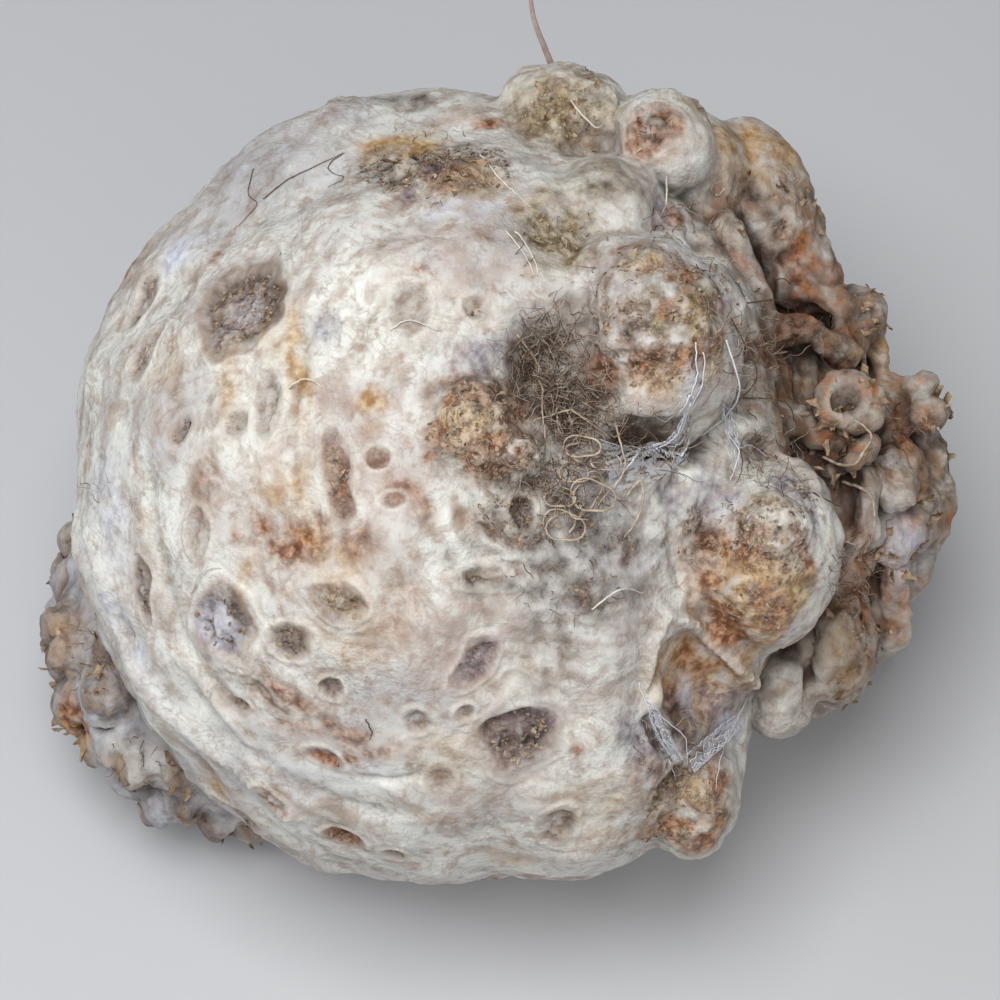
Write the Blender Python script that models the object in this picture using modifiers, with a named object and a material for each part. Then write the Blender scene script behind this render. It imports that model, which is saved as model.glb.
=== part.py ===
"""Celeriac root: one knobbly body that lies on the rim of its crown, with its root end turned up.

Places are millimetres in the face frame: x across, y up the face and z out of it, from the middle of the
body. The face leans back by FACE_LEAN, and the body stands FACE_HEIGHT above the surface that it lies on.
Lumps and limbs are fused by a voxel remesh. Wrinkles, eyes and hollows are then pressed into the skin, the
skin is thinned to TRIANGLES faces, and the part that would sink into the surface is cut off flat.
"""

import itertools
import math
import random

import bmesh
import bpy
import numpy as np
from mathutils import Matrix, Vector
from mathutils.bvhtree import BVHTree

MM = 0.001
NAME = "celeriac_root"

# Driving dimensions, in millimetres and degrees.
FACE_LEAN = 30.0
FACE_HEIGHT = 50.5
SPOT = (-8.5, -2.0)  # middle of the flat resting spot in the leaned frame
VOXEL = 0.9
SOFTENING = 4.0  # smoothing passes times the square of the voxel's size
TRIANGLES = 11_400
SEED = 7

BULB_CENTRE = (-7.5, -1.5, 0.0)
BULB_RADII = (50.0, 53.5, 49.0)
CROWN_AXIS = Vector((-0.68, -0.52, -0.53)).normalized()
CROWN_OFF = 47.5  # from the bulb's centre to the crown's, along the crown's axis
CROWN_RADII = (26.5, 26.5, 14.0)

# Rounded lumps: centre and radii.
LUMPS = {
    "right mass": ((37, -4, -10), (19, 28, 25)),
    "lower belly": ((7.5, -23.5, 5), (27, 31.5, 33)),
    "lower flank": ((19, -28, 2), (16, 21, 26)),
    "front knob": ((20, 17.5, 32), (11.2, 13.2, 16)),
    "front knob shoulder": ((14, 31, 23), (9, 11, 11)),
    "front knob brow": ((15, 24.5, 34), (7, 6, 8.5)),
    "front knob side": ((26, 21, 32), (6, 7.5, 10)),
    "front knob cheek": ((13.5, 15, 35), (5.5, 5, 8)),
    "small knob": ((-2, 6.2, 44.5), (6.6, 6.6, 7.6)),
    "small knob toe": ((3, 2.4, 44), (4.6, 4.2, 6.2)),
    "front knob belly": ((18.5, 10.5, 38), (7.5, 6.5, 9)),
    "side knob": ((33.5, -10.2, 21), (12, 13.4, 17.5)),
    "side knob root": ((25, -11.5, 24.5), (6.5, 9.5, 11.5)),
    "side knob crown": ((34.5, -7, 25), (7.5, 7, 15)),
    "side knob foot": ((27, -21, 18), (9, 10, 13)),
    "top lobe": ((9, 47, 8), (9.5, 9, 12)),
    "white knob": ((21.5, 43.5, 15), (6.8, 7, 9)),
    "top bridge": ((20, 40, 2), (15, 11.5, 14)),
    "lower knob": ((25.5, -41, 9), (7.5, 10.5, 14)),
    "tan lump": ((45, -23, 5), (6.5, 8, 8)),
    "low tan lump": ((38.5, -29, 8), (5, 6, 6)),
    "edge lump": ((50, 20, 0), (4.6, 5.6, 8)),
    "heel": ((20, -18, -33), (17, 17, 17)),
    "back lobe": ((27, 17, -24), (18, 23, 16)),
    "back knuckle": ((15, 34, -20), (13, 10, 12)),
    "back knob": ((36, 26, -34), (8, 9, 9)),
}

# Root stubs and ribs: each point is x, y, z and a radius.
LIMBS = {
    "back ridge": ((33, 43, 0, 5.6), (37, 36, 3, 6.2), (41, 26, 3, 6.6)),
    "tan tube": ((28, 39, 8, 2.2), (31, 31, 13, 2.4), (35, 22, 12, 2.4)),
    "hollow stub stalk": ((43, 2, 8, 3.4), (45.5, 7, 12, 3.2), (46.3, 9.5, 14, 3.2)),
    "right tongue": ((56, 8, -6, 4), (59.5, 3, -5, 3.4), (59.5, -6, -6, 3.6), (56.5, -13, -8, 4)),
    "pale ridge": ((54, 6, 3, 2.2), (56, 0, 3, 2.4), (58, -7, 1, 2.2)),
    "grey spur": ((51, 11, -1, 4.2), (55.5, 12, 2, 2.2), (59.0, 12.6, 3, 1.7)),
    "orange spur": ((54, 7, 2, 2.6), (58, 8.4, 3, 2.1), (60.5, 8.8, 4, 1.7)),
    "pale tube": ((48.5, 0, 12, 1.8), (49, -3, 13, 1.8), (50, -8, 11, 1.8)),
    "curl": ((44, 0, 13, 1.8), (47, 1.5, 16, 1.6), (49.5, 3.5, 14, 1.6)),
    "upper lump": ((52, 0, 8, 3.2), (53, -2, 8, 3.2)),
    "middle lump": ((54.5, -7, 5, 3.2), (54, -9, 5, 3)),
    "green lump": ((54, -13, 3, 2.6), (53.5, -21, 1, 2.8)),
    "upper rib": ((36, 19, 12, 2.2), (42, 20, 12, 2.4), (49, 15, 8, 3)),
    "lower rib": ((34, 9, 14, 2.2), (39, 8, 15, 2.4), (45, 4, 11, 3)),
    "outer rib": ((41, 25, 8, 2.6), (47, 22, 6, 3), (52, 17, 2, 3)),
    "skin fold": ((17, -29, 33, 1.2), (19, -33, 31, 1.2), (23, -38, 26, 1.2)),
    "crown spike": ((-55, -19.5, -23, 4.8), (-60, -22, -21, 3.6), (-63.8, -23.5, -19, 2.2)),
    "crown stalk": ((-46, -41, -22, 2.4), (-45, -46, -22, 2.0), (-42, -49, -21, 1.6)),
    "crown lobule": ((-38, -42, -22, 4.0), (-39, -46, -22, 3.6)),
    "back root": ((30, 8, -44, 6), (40, 16, -44, 4.5), (47, 24, -40, 3)),
    "low back root": ((44, -14, -28, 6), (52, -18, -32, 4), (57, -24, -33, 2.5)),
}

# The hollow cut stub: a ring that stands on its stalk.
RING_PLACE = (46.3, 10.0, 15.5)
RING_AXIS = (0.35, 0.25, 0.9)
RING_RADIUS = 3.3
RING_WALL = 1.4

# Broad hollows (height below zero) and swellings on the face: x, y, half length, half width, turn, height.
SWELLS = {
    "hairy crevice": (6.5, 14.5, 6.0, 3.6, 60, -5.0),
    "gap beside small knob": (10, 7.5, 4.5, 3.5, 70, -3.5),
    "pit under front knob": (18.5, 4.0, 5.0, 2.4, 0, -5.0),
    "valley": (14, -5.0, 9.0, 7.0, -20, -2.5),
    "moss hollow": (7.5, 30, 4.0, 5.0, 0, -1.6),
    "cavity under white knob": (22.5, 33.5, 3.6, 2.4, 20, -3.0),
    "left shoulder": (-27, 38, 18, 10, 32, -4.6),
    "rusty hollow": (-24, -8, 7.0, 4.0, -20, -0.9),
    "stained hollow": (-3, -21, 6.0, 4.0, 20, -1.0),
    "flank": (14, -28, 3.5, 12, 0, 1.6),
    "brow": (-8, 27, 13, 5, 10, 1.3),
    "facet lens": (20.8, -27.6, 3.0, 1.3, 60, 1.6),
}

# Where the body is knobblier than elsewhere: centre and radius.
ROUGH_PLACES = (
    ((46, 4, 2), 26),
    ((19, 18, 32), 15),
    ((33, -10, 24), 13),
    ((0, 4, 46), 8),
    ((-44, -35, -30), 26),
    ((20, -40, 14), 12),
    ((12, 46, 12), 13),
    ((34, 20, -30), 22),
)

# Eyes on the face, where roots came away: x, y, half length, half width, turn, depth.
EYES = {
    "wide eye": (-32, 21.5, 5.8, 6.0, 0, 1.7),
    "lavender eye": (-34.5, -19, 4.3, 3.9, 60, 1.5),
    "purple eye": (3, -32.8, 4.2, 3.9, 0, 1.5),
    "pale eye": (8.3, -45.2, 3.2, 2.2, 90, 1.1),
    "brown eye": (-25.5, -21, 2.3, 2.1, 0, 1.3),
    "lens eye": (-19.2, -16.2, 3.9, 2.0, -15, 1.5),
    "ring eye": (-37.3, -7.5, 2.6, 1.9, 90, 0.9),
    "dark edge eye": (-45, -14.4, 3.8, 1.9, 70, 1.4),
    "left eye": (-39.5, 5.3, 2.0, 1.5, 30, 1.0),
    "middle left eye": (-32, 6.5, 2.0, 1.6, 70, 1.0),
    "ridged eye": (-28.2, 8.7, 4.2, 1.8, 100, 1.3),
    "long brown eye": (-19.2, -0.7, 5.0, 1.7, 100, 1.3),
    "red eye": (-14.1, 1.8, 1.3, 1.1, 20, 1.4),
    "grey dimple": (-10.4, 20.4, 2.4, 2.8, 0, 1.1),
    "curled eye": (-2.1, 20.4, 1.8, 1.5, 0, 0.9),
    "upper edge eye": (-46.2, 23.2, 3.2, 1.8, 60, 1.3),
    "edge eye": (-45.4, 15.5, 3.6, 2.2, 60, 1.3),
    "pit eye": (-12.2, -3.4, 1.4, 1.0, 0, 0.7),
    "speckled eye": (-0.1, -12.7, 3.2, 1.4, 5, 1.2),
    "mouth": (3.6, -4.5, 1.9, 1.5, 80, 2.0),
    "slanting eye": (-2.1, -23.2, 3.6, 1.8, 60, 1.1),
    "small dark eye": (-20.4, -26.8, 1.4, 1.3, 0, 1.1),
    "lipped eye": (-29.3, -28, 3.0, 1.5, -40, 1.2),
    "low left eye": (-32.5, -29.5, 1.8, 1.2, 0, 0.9),
    "low middle eye": (-9.6, -31.3, 1.7, 1.5, 0, 0.9),
    "notch": (-3.6, -30.1, 1.4, 1.1, 40, 1.2),
    "low ring eye": (-6.9, -38.9, 2.1, 1.6, 90, 1.0),
    "rust eye": (-21.4, -36, 2.2, 1.1, -20, 0.8),
    "bottom left eye": (-28.7, -42, 2.6, 1.6, -40, 1.0),
    "bottom eye": (-19.5, -47, 2.4, 1.6, -20, 1.0),
    "bottom middle eye": (-13.2, -49.5, 1.6, 1.2, 0, 0.8),
    "white knob eye": (20.5, 45, 3.2, 2.8, 20, 1.2),
    "lower knob eye": (22.3, -39.9, 2.6, 2.1, 40, 1.2),
    "upper notch": (38.5, 33.1, 1.8, 1.3, 60, 1.2),
    "ring hole": (46.4, 10.1, 2.0, 1.9, 0, 4.2),
    "front knob pit": (16.3, 20.4, 1.0, 0.9, 0, 1.2),
    "front knob second pit": (18.1, 20.4, 1.0, 0.9, 0, 1.2),
}

# An eye's make-up, in its own half widths and its depth.
EYE_PIT = (1.2, 0.7, 0.95)  # where the pit begins, the width of its slope, and its share of the depth
EYE_RIM = (1.25, 0.22, 0.25)  # the rim's place, half width and height
EYE_DENT = (2.0, 0.25)  # the dent's half width and depth
EYE_WANDER = (4.5, 0.3)  # how its outline wanders: size in millimetres and amount

# Grooves (depth above zero) and ridges on the face: points, half width, depth.
GROOVES = {
    "knob crevice": (((26.5, 31), (31, 25), (33.4, 18), (32.5, 9), (27, 3), (18, 3.5)), 1.6, 2.6),
    "side knob crevice": (((22, -3), (25, 2.5), (31, 4.5), (38, 2), (44, -4), (45, -12)), 1.5, 2.0),
    "small knob crevice": (((-7.5, 2), (-4, -1), (1.5, -2.6), (6.5, -1)), 1.0, 0.8),
    "long crease": (((-2, -9.4), (3, -11.5), (8.9, -12.4)), 0.8, 1.1),
    "curved wrinkle": (((-4, -5), (0, -8), (3.8, -9.2), (7.3, -8.5)), 0.8, 0.9),
    "inner wrinkle": (((-8, -6), (-5, -11), (1, -15), (8, -16)), 1.0, 0.8),
    "flank groove": (((5.3, -18), (6.2, -22), (6.8, -27)), 0.7, 0.7),
    "second flank groove": (((8.0, -17), (8.7, -21), (9.2, -26)), 0.7, 0.7),
    "ochre streak": (((-24.2, 19), (-24, 13), (-25, 7.4)), 1.0, 0.8),
    "eyed crease": (((-18, -38.6), (-13, -39), (-9.3, -38.1)), 0.8, 1.1),
    "left fold": (((-44, 0), (-43, -9), (-40, -20), (-34, -30)), 1.4, 0.8),
    "second left fold": (((-40, -26), (-33, -35), (-24, -41), (-14, -44)), 1.4, 0.8),
    "side knob edge": (((23, -4), (22, -9), (23.5, -14)), 1.0, 0.7),
    "slit": (((19.5, -31.5), (20.8, -34), (22.8, -36.5)), 0.9, 1.8),
    "tan crease": (((42, -20), (42.6, -24), (42.2, -28)), 0.9, 1.8),
    "facet lip": (((19, -27), (19.6, -22), (21.5, -18), (25, -19), (29, -22.5), (33.5, -27)), 0.8, -1.3),
    "crown fold": (((-52.5, -8), (-50, -16), (-45.4, -28), (-38.7, -34), (-32, -39), (-26.5, -44)), 1.6, -1.2),
}

# The peeled facet: a flat-bottomed scoop under its lip.
FACET = (25.4, -26.4, 8.2, 5.4, -38, 1.5)

FACET_EDGE = (1.1, 0.35)  # where its floor ends and how wide its slope is, in its own half widths

# Eyes at random where the face doesn't show them.
HIDDEN_EYES = 64
HIDDEN_LENGTHS = (1.6, 4.4)  # least and most half length
HIDDEN_WIDTHS = (0.5, 0.95)  # least and most half width, as shares of the half length
HIDDEN_DEPTH = 0.24  # as a share of the half length
HIDDEN_GAP = 1.7  # least distance between two, as a share of their half lengths
HIDDEN_FLOOR = 5  # least height above the surface that the body lies on
HIDDEN_FACING = 0.2  # how far they may turn towards the face

CROWN_RINGS = ((9, 8, 3.2), (15.5, 13, 3.6), (21.5, 19, 3.6), (26, 24, 3.4))  # radius, stubs, their size
CROWN_FOLDS = (9.0, 22.0, 80.0, 0.55)  # spacing and reach in degrees from the crown's axis, and height
CROWN_STUMP = (6, 5, 4)  # radii of the stump in the middle of the crown
FOLD_FADES = (15, 20)  # degrees over which the folds begin and end
FOLD_WANDER = (24, 9)  # size in millimetres and amount in degrees
FOLD_STRENGTH = (16, 0.6, 0.8)  # size in millimetres, mean and amount
GNARLS = 30
WAVES = ((30, 1.5, 2), (17, 1.2, 0), (8, 0.8, 1))  # uneven skin: size, height and seed step
KNOBBLES = (6, 1.7, 6)  # the same, in the rough places


def rotation_to(axis):
    """The rotation that turns +Z to the axis."""
    return Vector(axis).normalized().to_track_quat("Z", "Y").to_matrix().to_4x4()


def add_blob(bm, centre, radii, axis=(0, 0, 1)):
    """An ellipsoid whose third radius lies along the axis."""
    scale = Matrix.Diagonal((*(Vector(radii) * MM), 1))
    place = Matrix.Translation(Vector(centre) * MM) @ rotation_to(axis) @ scale
    fineness = 5 if max(radii) > 9 else 3
    bmesh.ops.create_icosphere(bm, subdivisions=fineness, radius=1, matrix=place)


def add_limb(bm, points):
    """A round limb through points that carry their own radii."""
    for *place, radius in points:
        add_blob(bm, place, (radius,) * 3)
    for start, end in zip(points, points[1:]):
        a, b = Vector(start[:3]) * MM, Vector(end[:3]) * MM
        place = Matrix.Translation((a + b) / 2) @ rotation_to(b - a)
        bmesh.ops.create_cone(
            bm,
            cap_ends=True,
            segments=24,
            radius1=start[3] * MM,
            radius2=end[3] * MM,
            depth=(b - a).length,
            matrix=place,
        )


def add_ring_stub(bm):
    """The rim of the hollow stub, as a closed row of balls that overlap."""
    turn = rotation_to(RING_AXIS).to_3x3()
    count = 18
    for i in range(count):
        angle = math.tau * i / count
        out = turn @ Vector((math.cos(angle), math.sin(angle), 0))
        add_blob(bm, Vector(RING_PLACE) + out * RING_RADIUS, (RING_WALL,) * 3)


def add_crown(bm, rng):
    """The cut crown: a boss with rings of stalk stubs, and a stump in the middle."""
    centre = Vector(BULB_CENTRE) + CROWN_AXIS * CROWN_OFF
    add_blob(bm, centre, CROWN_RADII, CROWN_AXIS)
    add_blob(bm, centre + CROWN_AXIS * CROWN_RADII[2], CROWN_STUMP, CROWN_AXIS)
    turn = rotation_to(CROWN_AXIS).to_3x3()
    for ring, count, size in CROWN_RINGS:
        for i in range(count):
            angle = math.tau * (i + rng.uniform(-0.3, 0.3)) / count
            off = ring * rng.uniform(0.93, 1.04)
            rise = CROWN_RADII[2] * math.sqrt(max(0, 1 - (off / CROWN_RADII[0]) ** 2))
            foot = Vector((math.cos(angle) * off, math.sin(angle) * off, rise))
            radius = size * rng.uniform(0.6, 1.15)
            add_blob(bm, centre + turn @ foot, (radius, radius, radius * 1.2), CROWN_AXIS)


def add_gnarls(bm, rng):
    """Small knobs all over the right mass, where most roots grew."""
    centre, radii = LUMPS["right mass"]
    for _ in range(GNARLS):
        out = Vector((rng.uniform(0.1, 1), rng.uniform(-1, 1), rng.uniform(-0.9, 0.8))).normalized()
        place = Vector(centre) + Vector([o * r for o, r in zip(out, radii)])
        add_blob(bm, place, (rng.uniform(2.0, 4.2), rng.uniform(2.0, 5.5), rng.uniform(2.0, 4.2)))


def clay(rng):
    """All lumps and limbs, still overlapping, in one mesh."""
    bm = bmesh.new()
    add_blob(bm, BULB_CENTRE, BULB_RADII)
    for centre, radii in LUMPS.values():
        add_blob(bm, centre, radii)
    for points in LIMBS.values():
        add_limb(bm, points)
    add_ring_stub(bm)
    add_crown(bm, rng)
    add_gnarls(bm, rng)
    mesh = bpy.data.meshes.new("clay")
    bm.to_mesh(mesh)
    bm.free()
    return mesh


def fused(mesh):
    """One closed skin round the mesh, with its joints softened."""
    ob = bpy.data.objects.new("clay", mesh)
    bpy.context.scene.collection.objects.link(ob)
    remesh = ob.modifiers.new("Fuse", "REMESH")
    remesh.mode = "VOXEL"
    remesh.voxel_size = VOXEL * MM
    soften = ob.modifiers.new("Soften", "SMOOTH")
    soften.factor = 0.5
    soften.iterations = round(SOFTENING / VOXEL**2)
    skin = bpy.data.meshes.new_from_object(ob.evaluated_get(bpy.context.evaluated_depsgraph_get()))
    bpy.data.objects.remove(ob)
    bpy.data.meshes.remove(mesh)
    skin.name = NAME
    return skin


def noise(places, size, seed):
    """Smooth noise between about -1 and 1, with features of the given size in millimetres."""
    draw = np.random.default_rng(seed)
    order = draw.permutation(256)
    slopes = draw.normal(size=(256, 3))
    slopes /= np.linalg.norm(slopes, axis=1, keepdims=True)
    base = np.floor(places / size).astype(int)
    part = places / size - base
    ease = part**3 * (part * (part * 6 - 15) + 10)
    total = np.zeros(len(places))
    for corner in itertools.product((0, 1), repeat=3):
        cell = (base + corner) % 256
        key = order[(order[(order[cell[:, 0]] + cell[:, 1]) % 256] + cell[:, 2]) % 256]
        weight = np.prod(np.where(corner, ease, 1 - ease), axis=1)
        total += weight * ((part - corner) * slopes[key]).sum(axis=1)
    return 1.6 * total


class Skin:
    """The fused skin as arrays in millimetres, with what is pressed into it."""

    def __init__(self, mesh):
        self.mesh = mesh
        self.places = np.empty(len(mesh.vertices) * 3)
        mesh.vertices.foreach_get("co", self.places)
        self.places = self.places.reshape(-1, 3) / MM
        self.refresh()

    def refresh(self):
        """Writes the places back and takes new normals and a new search tree."""
        self.mesh.vertices.foreach_set("co", (self.places * MM).ravel())
        self.mesh.update()
        self.normals = np.empty(len(self.places) * 3)
        self.mesh.vertex_normals.foreach_get("vector", self.normals)
        self.normals = self.normals.reshape(-1, 3)
        corners = [tuple(p) for p in self.places]
        faces = [tuple(f.vertices) for f in self.mesh.polygons]
        self.tree = BVHTree.FromPolygons(corners, faces)
        self.rise = np.zeros(len(self.places))
        size, amount = EYE_WANDER
        self.wander = 1 + amount * noise(self.places, size, SEED + 5)

    def press(self):
        """Moves every point along its normal by the rise gathered so far."""
        self.places += self.normals * self.rise[:, None]
        self.refresh()

    def on_face(self, x, y):
        """The point and normal of the skin straight behind x, y of the face."""
        hit, normal, _, _ = self.tree.ray_cast(Vector((x, y, 200)), Vector((0, 0, -1)))
        return hit, normal

    def reach(self, spot, normal, length, width, turn):
        """How far each point is from a spot, in half lengths and half widths of a turned ellipse."""
        along = Vector((math.cos(math.radians(turn)), math.sin(math.radians(turn)), 0))
        along = (along - normal * along.dot(normal)).normalized()
        across = normal.cross(along)
        offset = self.places - np.array(spot)
        u, v = offset @ np.array(along) / length, offset @ np.array(across) / width
        w = offset @ np.array(normal) / (2.5 * max(length, width))
        return np.sqrt(u * u + v * v + w * w)

    def swell(self, spot, normal, length, width, turn, height):
        """A soft hollow or swelling."""
        reach = self.reach(spot, normal, length, width, turn)
        self.rise += height * np.exp(-(reach**2))

    def eye(self, spot, normal, length, width, turn, depth):
        """A shallow pit with an uneven rim, in a wider dent."""
        reach = self.reach(spot, normal, length, width, turn) * self.wander
        start, slope, share = EYE_PIT
        pit = np.clip((start - reach) / slope, 0, 1)
        self.rise -= share * depth * pit * pit * (3 - 2 * pit)
        place, half, height = EYE_RIM
        self.rise += height * depth * np.exp(-(((reach - place) / half) ** 2))
        half, share = EYE_DENT
        self.rise -= share * depth * np.exp(-((reach / half) ** 2))

    def groove(self, points, width, depth):
        """A groove, or a ridge if depth is below zero, along points of the face."""
        gap = np.full(len(self.places), np.inf)
        for (x0, y0), (x1, y1) in zip(points, points[1:]):
            steps = max(2, round(math.hypot(x1 - x0, y1 - y0) / (0.7 * width)))
            for i in range(steps + 1):
                t = i / steps
                spot, _ = self.on_face(x0 + (x1 - x0) * t, y0 + (y1 - y0) * t)
                gap = np.minimum(gap, ((self.places - np.array(spot)) ** 2).sum(axis=1))
        self.rise -= depth * np.exp(-gap / width**2)


def hidden_eyes(skin, rng):
    """Eyes on the sides that the face doesn't show, at random but clear of each other."""
    taken = []
    while len(taken) < HIDDEN_EYES:
        out = Vector((rng.gauss(0, 1), rng.gauss(0, 1), rng.gauss(-0.4, 1))).normalized()
        spot, normal, _, _ = skin.tree.ray_cast(out * 200, -out)
        length = rng.uniform(*HIDDEN_LENGTHS)
        height = spot.y * math.sin(math.radians(FACE_LEAN)) + spot.z * math.cos(math.radians(FACE_LEAN))
        if normal.z > HIDDEN_FACING or height < HIDDEN_FLOOR - FACE_HEIGHT:
            continue
        if any((spot - other).length < HIDDEN_GAP * (length + size) for other, size in taken):
            continue
        taken.append((spot, length))
        width, turn = length * rng.uniform(*HIDDEN_WIDTHS), rng.uniform(0, 180)
        skin.eye(spot, normal, length, width, turn, HIDDEN_DEPTH * length)


def crown_folds(skin):
    """Uneven folds that run round the crown, on the bulb beside it."""
    spacing, nearest, furthest, height = CROWN_FOLDS
    begin, end = FOLD_FADES
    out = skin.places - np.array(BULB_CENTRE)
    cosine = out @ np.array(CROWN_AXIS) / np.linalg.norm(out, axis=1)
    angle = np.degrees(np.arccos(np.clip(cosine, -1, 1)))
    fade = np.clip((angle - nearest) / begin, 0, 1) * np.clip((furthest - angle) / end, 0, 1)
    size, amount = FOLD_WANDER
    wander = amount * noise(skin.places, size, SEED + 3)
    size, mean, amount = FOLD_STRENGTH
    strength = mean + amount * noise(skin.places, size, SEED + 4)
    skin.rise += height * fade * strength * np.sin(math.tau * (angle + wander) / spacing)


def knobbliness(places):
    """How knobbly the body is at each point, from 0 to 1."""
    total = np.zeros(len(places))
    for centre, radius in ROUGH_PLACES:
        gap = np.linalg.norm(places - np.array(centre), axis=1) / radius
        total = np.maximum(total, np.clip(2 * (1 - gap), 0, 1))
    return total


def sculpted(mesh, rng):
    """Presses the hollows, wrinkles, facet and eyes into the skin."""
    skin = Skin(mesh)
    for size, height, step in WAVES:
        skin.rise += height * noise(skin.places, size, SEED + step)
    size, height, step = KNOBBLES
    skin.rise += height * knobbliness(skin.places) * noise(skin.places, size, SEED + step)
    crown_folds(skin)
    for x, y, *shape in SWELLS.values():
        skin.swell(*skin.on_face(x, y), *shape)
    x, y, length, width, turn, depth = FACET
    reach = skin.reach(*skin.on_face(x, y), length, width, turn)
    edge, slope = FACET_EDGE
    skin.rise -= depth * np.clip((edge - reach) / slope, 0, 1)
    skin.press()
    for points, width, depth in GROOVES.values():
        skin.groove(points, width, depth)
    for x, y, *shape in EYES.values():
        skin.eye(*skin.on_face(x, y), *shape)
    hidden_eyes(skin, rng)
    skin.press()


def skin_material():
    """Cream skin with a dull finish."""
    material = bpy.data.materials.new("celeriac_skin")
    material.use_nodes = True
    shader = material.node_tree.nodes["Principled BSDF"]
    shader.inputs["Base Color"].default_value = (0.62, 0.53, 0.41, 1)
    shader.inputs["Roughness"].default_value = 0.75
    shader.inputs["Metallic"].default_value = 0.0
    return material


def floor_cutter():
    """A block whose top is the surface that the body lies on."""
    side, height = 0.3, 0.05
    bpy.ops.mesh.primitive_cube_add(size=1, location=(0, 0, -height / 2))
    cutter = bpy.context.object
    cutter.name = "floor_cutter"
    cutter.scale = (side, side, height)
    cutter.hide_render = True
    cutter.display_type = "WIRE"
    cutters = bpy.data.collections.new("cutters")
    bpy.context.scene.collection.children.link(cutters)
    for holder in list(cutter.users_collection):
        holder.objects.unlink(cutter)
    cutters.objects.link(cutter)
    return cutter


def main():
    for ob in list(bpy.data.objects):
        bpy.data.objects.remove(ob, do_unlink=True)
    rng = random.Random(SEED)
    skin = fused(clay(rng))
    sculpted(skin, rng)
    skin.shade_smooth()
    skin.materials.append(skin_material())
    body = bpy.data.objects.new(NAME, skin)
    parts = bpy.data.collections.new(NAME)
    bpy.context.scene.collection.children.link(parts)
    parts.objects.link(body)
    body.rotation_euler.x = math.radians(FACE_LEAN)
    body.location = (-SPOT[0] * MM, -SPOT[1] * MM, FACE_HEIGHT * MM)
    heal = body.modifiers.new("Heal", "REMESH")
    heal.mode = "VOXEL"
    heal.voxel_size = VOXEL * MM
    thin = body.modifiers.new("Thin", "DECIMATE")
    thin.ratio = TRIANGLES / (2 * len(skin.polygons))
    cut = body.modifiers.new("Resting spot", "BOOLEAN")
    cut.operation = "DIFFERENCE"
    cut.object = floor_cutter()


main()
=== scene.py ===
"""Looks of the celeriac root: its skin at fine detail, crumbs, rootlets, root hairs and torn membrane.

The skin is shaped by the same lumps, limbs, wrinkles and eyes as the CAD solid, at a finer grain, and takes
that solid's place. Places are millimetres in the face frame: x across, y up the face and z out of it, from
the middle of the body. The face leans back by FACE_LEAN, and rests FACE_HEIGHT above the surface.
"""

import itertools
import math
import random

import bmesh
import bpy
import numpy as np
from mathutils import Matrix, Vector
from mathutils.bvhtree import BVHTree


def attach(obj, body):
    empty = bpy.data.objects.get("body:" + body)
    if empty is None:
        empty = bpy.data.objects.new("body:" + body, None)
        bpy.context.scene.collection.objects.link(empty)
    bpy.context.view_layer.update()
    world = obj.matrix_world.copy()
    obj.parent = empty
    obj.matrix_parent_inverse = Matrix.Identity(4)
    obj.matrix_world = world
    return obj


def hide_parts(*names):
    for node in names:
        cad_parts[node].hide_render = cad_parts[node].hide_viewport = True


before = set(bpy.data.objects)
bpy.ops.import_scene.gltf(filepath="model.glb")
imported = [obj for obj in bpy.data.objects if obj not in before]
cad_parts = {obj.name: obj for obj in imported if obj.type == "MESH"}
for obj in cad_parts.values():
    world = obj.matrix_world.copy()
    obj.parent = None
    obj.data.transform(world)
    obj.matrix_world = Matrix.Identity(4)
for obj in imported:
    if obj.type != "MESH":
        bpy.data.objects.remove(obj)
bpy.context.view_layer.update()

MM = 0.001
NODE = "celeriac_root"
BODY = "root"

# The same driving dimensions as the CAD solid, in millimetres and degrees.
FACE_LEAN = 30.0
FACE_HEIGHT = 50.5
SPOT = (-8.5, -2.0)  # middle of the flat resting spot in the leaned frame
SEED = 7

# The finer grain of this skin.
VOXEL = 0.4
SOFTENING = 4.0  # smoothing passes times the square of the voxel's size
PARTS = {  # from and to in z of the face frame; they share their border
    "skin_face": (-8.0, 200.0),
    "skin_back": (-200.0, -8.0),
}
TRIANGLES = 345_000  # in both parts together

BULB_CENTRE = (-7.5, -1.5, 0.0)
BULB_RADII = (50.0, 53.5, 49.0)
CROWN_AXIS = Vector((-0.68, -0.52, -0.53)).normalized()
CROWN_OFF = 47.5  # from the bulb's centre to the crown's, along the crown's axis
CROWN_RADII = (26.5, 26.5, 14.0)

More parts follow.
